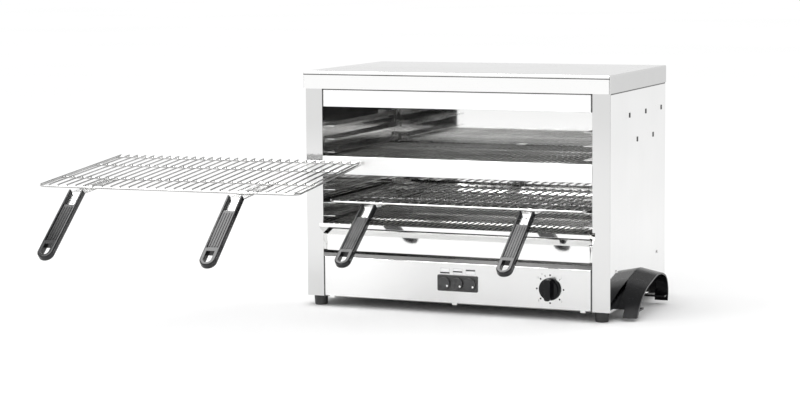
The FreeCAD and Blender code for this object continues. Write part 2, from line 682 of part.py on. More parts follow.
def build_fronts():
    """The control panel, the folded lower panel, the middle strip and the upper panel."""
    width = ("-panel_half", "panel_half")
    returns = ("panel_back", "panel_back + flange")
    upper = fuse("UpperFront", [
        box("UpperFace", width, ("front", "panel_back"), ("upper_panel_bottom", "lip_bottom + 15")),
        box("UpperReturn", width, returns, ("upper_panel_bottom", "upper_panel_bottom + sheet")),
        box("UpperHead", width, returns, ("lip_bottom + 15 - sheet", "lip_bottom + 15")),
    ])
    node(upper, "upper_front_panel")
    strip = fuse("MiddleStrip", [
        box("StripFace", width, ("front", "panel_back"), ("strip_bottom", "strip_top")),
        box("StripFoot", width, returns, ("strip_bottom", "strip_bottom + sheet")),
        box("StripHead", width, returns, ("strip_top - sheet", "strip_top")),
    ])
    node(strip, "middle_front_strip")

    run = "(rail_reach)"
    slant = "(sqrt(rail_reach * rail_reach + bevel_rise * bevel_rise))"
    face = "(front + panel_recess)"
    rail = f"({face} - {run})"
    rise = f"(sheet * ({slant} - {run}) / bevel_rise)"
    ratio = f"(bevel_rise / {run})"
    half = "(panel_half - panel_end_gap)"
    body = new_body("LowerFront")
    middle = drawing(body, "LowerProfile", "YZ_Plane", f"-{half}")
    outline(middle, [
        (face, "lower_panel_bottom"), (face, "fold_z"), (rail, "rail_bottom"), (rail, "rail_top"),
        (f"{rail} + sheet", "rail_top"), (f"{rail} + sheet", f"rail_bottom + {rise}"),
        (f"{face} + sheet", f"fold_z + {rise}"), (f"{face} + sheet", "lower_panel_bottom + sheet"),
        (f"{face} + flange", "lower_panel_bottom + sheet"), (f"{face} + flange", "lower_panel_bottom"),
    ])
    pad(body, "LowerPad", middle, f"2 * {half}")
    start = "(front - 1)"
    wide = drawing(body, "RailProfile", "YZ_Plane", "-(opening_half + rail_overlap)")
    outline(wide, [
        (start, f"fold_z + ({face} - {start}) * {ratio}"), (rail, "rail_bottom"), (rail, "rail_top"),
        (f"{rail} + sheet", "rail_top"), (f"{rail} + sheet", f"rail_bottom + {rise}"),
        (start, f"fold_z + {rise} + ({face} + sheet - {start}) * {ratio}"),
    ])
    pad(body, "RailPad", wide, "2 * (opening_half + rail_overlap)")
    tab_rear = "(front + post_return + gap)"
    for sign, word in SIDES:
        cheek = drawing(body, "Cheek" + word, "XY_Plane", "lower_panel_bottom")
        edge = side(sign, f"{half} - sheet", half)
        rectangle(cheek, edge, (f"{face} + sheet / 2", f"{tab_rear} + sheet"))
        pad(body, "CheekPad" + word, cheek, "lower_panel")
        tab = drawing(body, "Tab" + word, "XY_Plane", "lower_panel_bottom")
        rectangle(tab, side(sign, f"{half} - sheet", "return_outer"), (tab_rear, f"{tab_rear} + sheet"))
        pad(body, "TabPad" + word, tab, "lower_panel")
    node(body, "lower_front_panel")

    panel = [
        box("ControlFace", width, ("front", "panel_back"), ("control_bottom", "control_top")),
        box("ControlHead", width, returns, ("control_top - sheet", "control_top")),
        box("ControlFoot", width, returns, ("control_bottom", "control_bottom + sheet")),
    ]
    for word, x in (("Left", "-(panel_half - 18)"), ("Middle", "0"), ("Right", "(panel_half - 18)")):
        panel.append(box("ControlTab" + word, (f"{x} - 5", f"{x} + 5"), ("front", "panel_back"),
                         ("control_bottom - 4", "control_bottom + 1")))
    frame_x = ("bezel_x - bezel_width / 2 + bezel_border - gap", "bezel_x + bezel_width / 2 - bezel_border + gap")
    frame_z = ("bezel_z - bezel_height / 2 + bezel_border - gap",
               "bezel_z + bezel_height / 2 - bezel_border + gap")
    holes = [
        box("BezelHole", frame_x, ("front - 1", "panel_back + 1"), frame_z),
        rod("ShaftHole", "y", ("knob_x", "front - 1", "knob_z"), "sheet + 2", "shaft_radius + 1"),
    ]
    node(cut("Control", fuse("ControlFolded", panel), holes), "control_panel")


# Feet and screws

FOOT_PLACES = [
    ("-(half_body - foot_inset_x)", "front + foot_inset_front", "front_left"),
    ("half_body - foot_inset_x", "front + foot_inset_front", "front_right"),
    ("-(half_body - foot_inset_x)", "back - foot_inset_rear", "rear_left"),
    ("half_body - foot_inset_x", "back - foot_inset_rear", "rear_right"),
]


def build_feet():
    """Moulded feet with counterbored screws."""
    screws = []
    for x, y, word in FOOT_PLACES:
        body = new_body("Foot" + word)
        disc = drawing(body, "FootDisc" + word, "XY_Plane")
        circle(disc, "0", "0", "foot_top_radius")
        foot = pad(body, "FootPad" + word, disc, "foot_height")
        foot.setExpression("TaperAngle", formula("0"))
        profile = drawing(body, "FootTaper" + word, "XZ_Plane")
        outline(profile, [("foot_bottom_radius", "0"), ("foot_top_radius + 1", "0"),
                          ("foot_top_radius + 1", "foot_height"), ("foot_top_radius", "foot_height")])
        groove = body.newObject("PartDesign::Groove", "FootGroove" + word)
        groove.Profile = profile
        groove.ReferenceAxis = (profile, ["V_Axis"])
        groove.Angle = 360
        doc.recompute()
        rounding = number("foot_bottom_radius")
        round_edges(body, "FootRound" + word,
                    lambda edge: lies_at(edge, "z", 0) and abs(edge.BoundBox.XMax - rounding) < 0.01,
                    "foot_bottom_radius / 6")
        bore = drawing(body, "FootBore" + word, "XY_Plane")
        circle(bore, "0", "0", "screw_head + 2 * gap")
        pocket(body, "FootCounterbore" + word, bore, "head_depth + head_height", flip=True)
        hole = drawing(body, "FootHole" + word, "XY_Plane")
        circle(hole, "0", "0", "foot_bore")
        pocket(body, "FootThrough" + word, hole)
        place(body, x, y, "0")
        node(body, "foot_" + word)
        screws.append(fuse("FootScrew" + word, [
            rod("FootScrewHead" + word, "z", (x, y, "head_depth"), "head_height", "screw_head"),
            rod("FootScrewShank" + word, "z", (x, y, "head_depth"), "foot_height + sheet + 8 - head_depth",
                "foot_screw"),
        ]))
        screws.append(cut("FootNut" + word, rod("FootNutBlank" + word, "z", (x, y, "base_top"), "4", "5"),
                          [rod("FootNutBore" + word, "z", (x, y, "base_top - 1"), "6", "foot_screw")]))
    node(group("FootScrews", screws), "foot_screws")


def build_panel_screws():
    """Screws of the back panel and, through the side panels, of the inner frame."""
    screws = []
    spots = []
    for z in ("base_top + base_flange / 2", "lip_bottom - 12"):
        for factor in (-0.93, -0.31, 0.31, 0.93):
            spots.append((f"{factor} * (half_body - rear_flange / 2)", z))
    for index, (x, z) in enumerate(spots):
        screws.append(rod(f"BackScrew{index}", "y", (x, "back", z), "panel_screw_height", "panel_screw"))
    for sign, word in SIDES:
        for index, y in enumerate(("front + 40", "back - 60")):
            start = "half_body" if sign > 0 else "-half_body - panel_screw_height"
            screws.append(rod(f"SideScrew{word}{index}", "x", (start, y, "control_top - flange / 2 - 1"),
                              "panel_screw_height", "panel_screw"))
    node(group("PanelScrews", screws), "panel_screws")


# Runners and guards

def build_runners():
    """Three ledges for the grid in each cavity and on each side, with a stop at the rear."""
    levels = []
    for top in ("upper_runner_top", "lower_runner_top"):
        for step in range(3):
            levels.append(f"{top} - {step} * runner_pitch")
    for sign, word in SIDES:
        runners = []
        for index, z in enumerate(levels):
            name = f"Runner{word}{index}"
            length = ("front + runner_front", "runner_end")
            runners.append(fuse(name, [
                box(name + "Ledge", side(sign, "runner_wall - runner_reach", "runner_wall"), length,
                    (f"{z} - sheet", z)),
                box(name + "Web", side(sign, "runner_wall - sheet", "runner_wall"), length,
                    (f"{z} - runner_web", z)),
                box(name + "Stop", side(sign, "runner_wall - runner_reach", "runner_wall"),
                    ("runner_end - sheet", "runner_end"), (f"{z} - sheet", f"{z} + runner_stop")),
            ]))
        node(group("Runners" + word, runners), "runners_" + word)


GUARDS = [
    ("TopGuard", "top_guard_z", "top_guard"),
    ("UpperFloorGuard", "floor_guard_z", "upper_floor_guard"),
    ("LowerCeilingGuard", "ceiling_guard_z", "lower_ceiling_guard"),
    ("BottomGuard", "bottom_guard_z", "bottom_guard"),
]


def build_guards():
    """One welded wire guard, used at four heights, each on its own side ledges."""
    bars = []
    for index, y in enumerate(("guard_bar_first", "front + guard_bar_b", "front + guard_bar_c",
                               "guard_bar_last")):
        bars.append(box(f"GuardBar{index}", ("-guard_half", "guard_half"),
                        (f"{y} - guard_bar / 2", f"{y} + guard_bar / 2"), ("0", "guard_bar")))
    spread = "(guard_half - guard_side)"
    count = 2 * int(number(spread) / number("guard_pitch")) + 1
    wires = []
    for index in range(count):
        x = f"{index - count // 2} * guard_pitch"
        wires.append(rod(f"GuardWire{index}", "y",
                         (x, "guard_bar_first - guard_overrun", "guard_bar + guard_wire - weld_sink"),
                         "guard_bar_last - guard_bar_first + 2 * guard_overrun", "guard_wire"))
    guard = fuse("Guard", bars + wires, refine=False)
    for name, z, label in GUARDS:
        copy = group(name, [guard])
        place(copy, "0", "0", z)
        node(copy, label)
    for sign, word in SIDES:
        ledges = []
        for name, z, label in GUARDS:
            length = ("front + post_return + gap", "guard_bar_last + 8")
            ledges.append(fuse(f"{name}Ledge{word}", [
                box(f"{name}Shelf{word}", side(sign, "runner_wall - guard_reach", "runner_wall"), length,
                    (f"{z} - sheet", z)),
                box(f"{name}Web{word}", side(sign, "runner_wall - sheet", "runner_wall"), length,
                    (f"{z} - sheet", f"{z} + guard_web")),
            ]))
        node(group("GuardLedges" + word, ledges), "guard_rails_" + word)
    clips = []
    for index in range(3):
        x = f"(-wall_inner + clip_start + {index} * clip_pitch)"
        level = "(floor_guard_z - gap)"
        clips.append(fuse(f"Clip{index}", [
            box(f"ClipFoot{index}", (f"{x} - clip_width / 2", f"{x} + clip_width / 2"),
                ("reflector_front - gap - sheet", "reflector_front - gap"),
                (f"{level} - 14", f"{level} + guard_height + gap + sheet")),
            box(f"ClipTab{index}", (f"{x} - clip_width / 2", f"{x} + clip_width / 2"),
                ("reflector_front - gap - clip_reach", "reflector_front - gap"),
                (f"{level} + guard_height + gap", f"{level} + guard_height + gap + sheet")),
            box(f"ClipNose{index}", (f"{x} - clip_width / 2", f"{x} + clip_width / 2"),
                ("reflector_front - gap - clip_reach - sheet", "reflector_front - gap - clip_reach"),
                (f"{level} + guard_height + gap + sheet - clip_height",
                 f"{level} + guard_height + gap + sheet")),
        ]))
    node(group("Clips", clips), "guard_clips")


# Heaters

TUBE_LEVELS = [("Top", "tube_top_z"), ("Middle", "tube_middle_z"), ("Bottom", "tube_bottom_z")]
TUBE_ROWS = [("Front", "front + tube_front"), ("Rear", "front + tube_rear")]
LEADS = []
for lead_side, lead_word in SIDES:
    for lead_order, (lead_level, lead_z) in enumerate(TUBE_LEVELS):
        for lead_spot, lead_y in TUBE_ROWS:
            LEADS.append((f"{lead_word}{lead_level}{lead_spot}", lead_side,
                          f"({lead_y} + {lead_order - 1} * lead_pitch)", lead_z))


def build_heaters():
    """Quartz tubes with a coil inside, in ceramic caps behind the inner walls."""
    coils = []
    caps = {"left": [], "right": []}
    for level, z in TUBE_LEVELS:
        tubes = []
        for spot, y in TUBE_ROWS:
            name = "Tube" + level + spot
            tubes.append(cut(name, rod(name + "Glass", "x", ("-tube_end", y, z), "2 * tube_end", "tube_radius"),
                             [rod(name + "Bore", "x", ("-tube_end - 1", y, z), "2 * tube_end + 2",
                                  "tube_radius - tube_wall")]))
            coils.append(rod(name + "Coil", "x", ("-tube_end + 2", y, z), "2 * tube_end - 4",
                             "tube_radius - tube_wall - coil_gap"))
            for sign, word in SIDES:
                start = "cap_inner" if sign > 0 else "-cap_outer"
                socket = "cap_inner - 1" if sign > 0 else "-cap_inner - cap_socket"
                caps[word].append(cut(f"{name}Cap{word}",
                                      rod(f"{name}CapBlank{word}", "x", (start, y, z), "cap_length", "cap_radius"),
                                      [rod(f"{name}CapSocket{word}", "x", (socket, y, z), "cap_socket + 1",
                                           "tube_radius + shaft_fit")]))
        node(group("Tubes" + level, tubes), "quartz_tubes_" + level.lower())
    node(group("Coils", coils), "heating_coils")
    for sign, word in SIDES:
        node(group("Caps" + word, caps[word]), "tube_caps_" + word)


def wire_path(points, bend):
    """Straight runs through the points, joined by tangent arcs."""
    edges = []
    start = points[0]
    for index in range(1, len(points) - 1):
        before = points[index].sub(points[index - 1]).normalize()
        after = points[index + 1].sub(points[index]).normalize()
        half_turn = before.getAngle(after) / 2
        reach = bend * math.tan(half_turn)
        enter = points[index].sub(before.multiply(reach))
        leave = points[index].add(after.multiply(reach))
        inward = leave.add(enter).multiply(0.5).sub(points[index])
        depth = bend / math.cos(half_turn) - bend
        middle = points[index].add(inward.normalize().multiply(depth))
        edges.append(Part.LineSegment(start, enter).toShape())
        edges.append(Part.Arc(enter, middle, leave).toShape())
        start = leave
    edges.append(Part.LineSegment(start, points[-1]).toShape())
    return Part.Wire(edges)


def build_wiring():
    """Leads from each cap down the side duct to a terminal strip, and from there to the switches."""
    radius = number("lead_radius")
    bend = number("lead_bend")
    tubes = []

    def lay(points):
        path = wire_path(points, bend)
        along = points[1].sub(points[0])
        ring = Part.Wire(Part.makeCircle(radius, points[0], along))
        tubes.append(path.makePipeShell([ring], True, True))

    for tag, sign, y, z in LEADS:
        y_here = number(y)
        end_x = sign * number("cap_outer")
        down_x = sign * number("lead_x")
        z_here = number(z)
        lay([Vector(end_x, y_here, z_here), Vector(down_x, y_here, z_here),
             Vector(down_x, y_here, number("terminal_top"))])
    inner = number("lead_x") - number("terminal_width") / 2
    level = number("base_top") + 24
    rear = number("front + bezel_frame + gap + switch_depth")
    for index, factor in enumerate((-1, 0, 1)):
        x = number("bezel_x") + factor * number("button_pitch")
        y = number("front + tube_front") + 12 * factor
        for sign in (-1, 1):
            z = level + 12 * (sign > 0)
            lay([Vector(sign * inner, y, z), Vector(x + 4 * sign, y, z),
                 Vector(x + 4 * sign, rear, z)])
    timer_rear = number("behind_front + timer_depth")
    timer_x = number("knob_x") + 8
    run_y = number("front + tube_front") + 30
    lay([Vector(inner, run_y, level), Vector(timer_x, run_y, level), Vector(timer_x, timer_rear, level)])
    gland_y = number("back_inner - 10")
    gland_x = -number("gland_x")
    run_y = number("front + tube_rear") - 12
    lay([Vector(-inner, run_y, level + 6), Vector(gland_x, run_y, level + 6),
         Vector(gland_x, run_y + 40, level + 6), Vector(gland_x, run_y + 40, number("gland_z")),
         Vector(gland_x, gland_y, number("gland_z"))])
    wiring = doc.addObject("Part::Feature", "Wiring")
    wiring.Shape = Part.makeCompound(tubes)
    node(wiring, "wiring")

    blocks = []
    for sign, word in SIDES:
        blocks.append(box("Terminals" + word, side(sign, "lead_x - terminal_width / 2",
                                                   "base_half - sheet - gap"),
                          ("front + tube_front - lead_pitch - terminal_margin",
                           "front + tube_rear + lead_pitch + terminal_margin"),
                          ("base_top", "terminal_top")))
    node(group("TerminalBlocks", blocks), "terminal_block")


def build_gland():
    """The mains cable's gland in the back panel, without a cable."""
    body = new_body("Gland")
    inside = "(back_inner - 10)"
    stem = drawing(body, "GlandStem", "XZ_Plane", f"-{inside}")
    circle(stem, "0", "0", "gland_radius - 3")
    pad(body, "GlandStemPad", stem, "10 + sheet + gland_reach", flip=True)
    collar = drawing(body, "GlandCollar", "XZ_Plane", "-back")
    circle(collar, "0", "0", "gland_radius")
    pad(body, "GlandCollarPad", collar, "4", flip=True)
    nut = drawing(body, "GlandNut", "XZ_Plane", f"-{inside} - 4")
    circle(nut, "0", "0", "gland_radius")
    pad(body, "GlandNutPad", nut, "6 - gap", flip=True)
    bore = drawing(body, "GlandBore", "XZ_Plane", f"-{inside} - 4")
    circle(bore, "0", "0", "gland_bore")
    pocket(body, "GlandBorePocket", bore, "50")
    place(body, "-gland_x", "0", "gland_z")
    node(body, "cable_gland")


# Controls

def build_switches():
    """A snap-in bezel with three push buttons and their switch bodies."""
    body = new_body("Bezel")
    plate = drawing(body, "BezelPlate", "XZ_Plane", "-front")
    rectangle(plate, ("-bezel_width / 2", "bezel_width / 2"), ("-bezel_height / 2", "bezel_height / 2"))
    pad(body, "BezelPlatePad", plate, "bezel_reach")
    rim_y = number("front - bezel_reach")
    round_edges(body, "BezelCorners", lambda edge: runs_along(edge, "y"), "bezel_corner")
    round_edges(body, "BezelRim", lambda edge: lies_at(edge, "y", rim_y), "bezel_reach * 0.35")
    frame = drawing(body, "BezelFrame", "XZ_Plane", "-front - bezel_frame")
    rectangle(frame, ("-bezel_width / 2 + bezel_border", "bezel_width / 2 - bezel_border"),
              ("-bezel_height / 2 + bezel_border", "bezel_height / 2 - bezel_border"))
    pad(body, "BezelFramePad", frame, "bezel_frame + bezel_reach / 2")
    holes = drawing(body, "BezelHoles", "XZ_Plane", "-front")
    for factor in (-1, 0, 1):
        circle(holes, f"{factor} * button_pitch", "0", "button_radius + button_clearance")
    pocket(body, "BezelHolePocket", holes)
    place(body, "bezel_x", "0", "bezel_z")
    node(body, "switch_bezel")

    switches = []
    for factor, word in ((-1, "bottom"), (0, "middle"), (1, "top")):
        x = f"(bezel_x + {factor} * button_pitch)"
        button = new_body("Button" + word)
        disc = drawing(button, "ButtonDisc" + word, "XZ_Plane")
        circle(disc, "0", "0", "button_radius")
        pad(button, "ButtonPad" + word, disc, "button_length", flip=True)
        round_edges(button, "ButtonRim" + word, lambda edge: lies_at(edge, "y", 0), "button_round")
        place(button, x, "front - button_reach", "bezel_z")
        node(button, "button_" + word)
        switches.append(box("Switch" + word, (f"{x} - switch_width / 2", f"{x} + switch_width / 2"),
                            ("front + bezel_frame + gap", "front + bezel_frame + gap + switch_depth"),
                            ("bezel_z - switch_height / 2", "bezel_z + switch_height / 2")))
    node(group("Switches", switches), "switch_bodies")


def build_timer():
    """A timer with a knob that turns on its shaft."""
    body = new_body("Knob")
    skirt = drawing(body, "KnobSkirt", "XZ_Plane")
    circle(skirt, "0", "0", "knob_radius")
    pad(body, "KnobSkirtPad", skirt, "knob_skirt")
    waist = drawing(body, "KnobWaist", "XZ_Plane")
    circle(waist, "0", "0", "knob_waist")
    pad(body, "KnobWaistPad", waist, "knob_cap")
    grip = drawing(body, "KnobGrip", "XZ_Plane")
    rectangle(grip, ("-knob_grip / 2", "knob_grip / 2"), ("-knob_radius + 1", "knob_radius - 1"))
    pad(body, "KnobGripPad", grip, "knob_reach - knob_gap")
    front_y = -number("knob_reach - knob_gap")
    round_edges(body, "KnobGripEnds", lambda edge: runs_along(edge, "y")
                and abs(edge.BoundBox.XMax) > 1 and edge.BoundBox.YMin < front_y + 0.01, "knob_grip * 0.35")
    round_edges(body, "KnobGripTop", lambda edge: lies_at(edge, "y", front_y), "knob_grip / 8")
    bore = drawing(body, "KnobBore", "XZ_Plane")
    circle(bore, "0", "0", "shaft_radius")
    pocket(body, "KnobBorePocket", bore, "knob_cap + 6", flip=True)
    place(body, "knob_x", "front - knob_gap", "knob_z")
    node(body, "timer_knob")

    shaft_front = "(front - knob_gap - knob_cap - 6)"
    shaft_rear = "(behind_front + timer_depth / 2)"
    shaft = rod("TimerShaft", "y", ("knob_x", shaft_front, "knob_z"), f"{shaft_rear} - {shaft_front}",
                "shaft_radius")
    node(shaft, "timer_shaft")
    housing = cut("TimerBody", box("TimerBlock", ("knob_x - timer_width / 2", "knob_x + timer_width / 2"),
                                   ("behind_front", "behind_front + timer_depth"),
                                   ("knob_z - timer_width / 2", "knob_z + timer_width / 2")),
                  [rod("TimerBore", "y", ("knob_x", "behind_front - 1", "knob_z"),
                       "timer_depth / 2 + 1 + gap", "shaft_radius + shaft_fit")])
    node(housing, "timer_housing")


# Side arch

def inset(points, distance):
    """Move every line of a closed counter-clockwise outline inwards by a distance."""
    moved = []
    count = len(points)
    for index in range(count):
        before = points[index].sub(points[index - 1]).normalize()
        after = points[(index + 1) % count].sub(points[index]).normalize()
        normal_before = Vector(-before.y, before.x, 0)
        normal_after = Vector(-after.y, after.x, 0)
        bisector = normal_before.add(normal_after).normalize()
        moved.append(points[index].add(bisector.multiply(distance / bisector.dot(normal_before))))
    return moved


ARCH_POINTS = [(0.0, -0.06), (0.1647, 0.506), (0.3534, 0.7706), (0.739, 0.994), (0.9558, 0.7824), (1.0, 0.4353),
               (0.9598, -0.06)]
ARCH_ROUNDS = [125.0, 175.0, 130.0, 38.0, 36.0]


def arch_block(name, points, rounds, start, length, drop):
    """A tilted block whose outline is the arch, with its shoulders rounded."""
    body = new_body(name)
    sketch = drawing(body, name + "Outline", "YZ_Plane", start)
    outline(sketch, [(f"{point.x}", f"{point.y}") for point in points])
    feature = body.newObject("PartDesign::Pad", name + "Pad")
    feature.Profile = sketch
    feature.UseCustomVector = True
    feature.AlongSketchNormal = True
    feature.Direction = Vector(number(length), 0, -number(drop))
    feature.setExpression("Length", formula(length))
    doc.recompute()
    shoulders = points[1:-1]
    for index, (corner, radius) in enumerate(zip(shoulders, rounds)):
        round_edges(body, f"{name}Round{index}", lambda edge: runs_outwards(edge, corner), f"{radius}")
    return body


def runs_outwards(edge, corner):
    """Whether an edge crosses the arch from the panel outwards at a corner of its outline."""
    start, end = ends(edge)
    if abs(end.x - start.x) < 5:
        return False
    near = start if start.x < end.x else end
    return abs(near.y - corner.x) < 0.01 and abs(near.z - corner.y) < 0.01


def arch_leg_taper():
    """What is cut from the arch, so that its legs leave the panel towards their feet."""
    body = new_body("ArchLegTaper")
    sketch = drawing(body, "ArchLegOutline", "XZ_Plane", "-back")
    outline(sketch, [("half_body - 5", "-60"), ("half_body + arch_leg_gap", "-60"),
                     ("half_body + arch_leg_gap", "arch_leg_height"), ("half_body", "arch_taper_height"),
                     ("half_body - 5", "arch_taper_height")])
    pad(body, "ArchLegPad", sketch, "back - front")
    return body


def build_arch():
    """A moulded arch on the right side that keeps the cabinet off a wall."""
    height = number("arch_height")
    length = number("arch_length")
    start = number("front + arch_front")
    ring = [Vector(start + across * length, up * height, 0) for across, up in ARCH_POINTS]
    ring.reverse()
    inner = inset(ring, number("arch_thickness"))
    inner[0] = Vector(inner[0].x, ring[0].y - 10, 0)
    inner[-1] = Vector(inner[-1].x, ring[-1].y - 10, 0)
    rounds = list(reversed(ARCH_ROUNDS))
    less = [radius - number("arch_thickness") for radius in rounds]
    outer_block = arch_block("ArchOuter", ring, rounds, "half_body + gap", "arch_width - gap", "arch_drop")
    inner_block = arch_block("ArchInner", inner, less, "half_body + gap - 2", "arch_width - gap + 4",
                             "arch_drop * (arch_width - gap + 4) / (arch_width - gap)")
    shift = "arch_drop * 2 / (arch_width - gap)"
    place(inner_block, "0", "0", shift)
    reach = ("front", "back")
    trims = [
        inner_block,
        box("ArchGround", ("half_body - 5", "half_body + arch_width + 5"), reach, ("-60", "arch_ground")),
        arch_leg_taper(),
    ]
    band = cut("ArchBand", outer_block, [fuse("ArchTrims", trims)])
    tabs = []
    screws = []
    tab_z = ("foot_height - 1 - arch_thickness", "foot_height - 1")
    tabs.append(box("ArchTabLink", ("half_body + arch_leg_gap + 1", "half_body + arch_width - 2"),
                    ("front + arch_front + 28.5", "front + arch_front + 57"), tab_z))
    for word, y_low, y_high in (("Front", "front + arch_front + 56", "front + arch_front + 74"),
                                ("Rear", "front + arch_front + arch_length - 24",
                                 "front + arch_front + arch_length - 6")):
        tabs.append(box("ArchTab" + word, ("half_body - arch_tab", "half_body + arch_width - 2"),
                        (y_low, y_high), tab_z))
        tabs.append(box("ArchSeat" + word, ("half_body - arch_tab", "half_body - arch_tab + 16"),
                        (y_low, y_high), ("foot_height - 1 - arch_thickness", "foot_height")))
        x = "half_body - arch_tab + 8"
        y = f"({y_low} + {y_high}) / 2"
        screws.append(rod("ArchScrew" + word, "z", (x, y, "foot_height - 1 - arch_thickness - panel_screw_height"),
                          "panel_screw_height", "panel_screw"))
    node(fuse("Arch", [band] + tabs), "side_arch")
    node(group("ArchScrews", screws), "arch_screws")


# Crumb tray

def build_tray():
    """A shallow drawer on the deck, with a lip that closes the slot under the lower panel."""
    half = "(wall_inner - 2)"
    rear = "tray_rear"
    inside = ("front", rear)
    pieces = [
        box("TrayLip", ("-panel_half", "panel_half"), ("front", "panel_back"), ("tray_bottom", "tray_top")),
        box("TrayFloor", (f"-{half}", half), inside, ("tray_bottom", "tray_bottom + sheet")),
        box("TrayRear", (f"-{half}", half), (f"{rear} - sheet", rear), ("tray_bottom", "tray_bottom + tray_side")),
    ]
    for sign, word in SIDES:
        pieces.append(box("TraySide" + word, side(sign, f"{half} - sheet", half),
                          ("front + post_return + gap", rear), ("tray_bottom", "tray_bottom + tray_side")))
    for sign, word in SIDES:
        pieces.append(box("TrayCorner" + word, side(sign, "panel_half - sheet", "panel_half"),
                          ("front", "front + post_return + 4"), ("tray_bottom", "tray_bottom + tray_side")))
    body = fuse("Tray", pieces)
    notches = []
    for sign, word in SIDES:
        notches.append(box("TrayNotch" + word, side(sign, "panel_half", "wall_inner + 1"),
                           ("front - 1", "front + post_return + gap"), ("tray_bottom - 1", "tray_top + 1")))
    node(cut("TrayPan", body, notches), "crumb_tray")


# Cooking grids with brackets and grips, built about the middle of the front wire

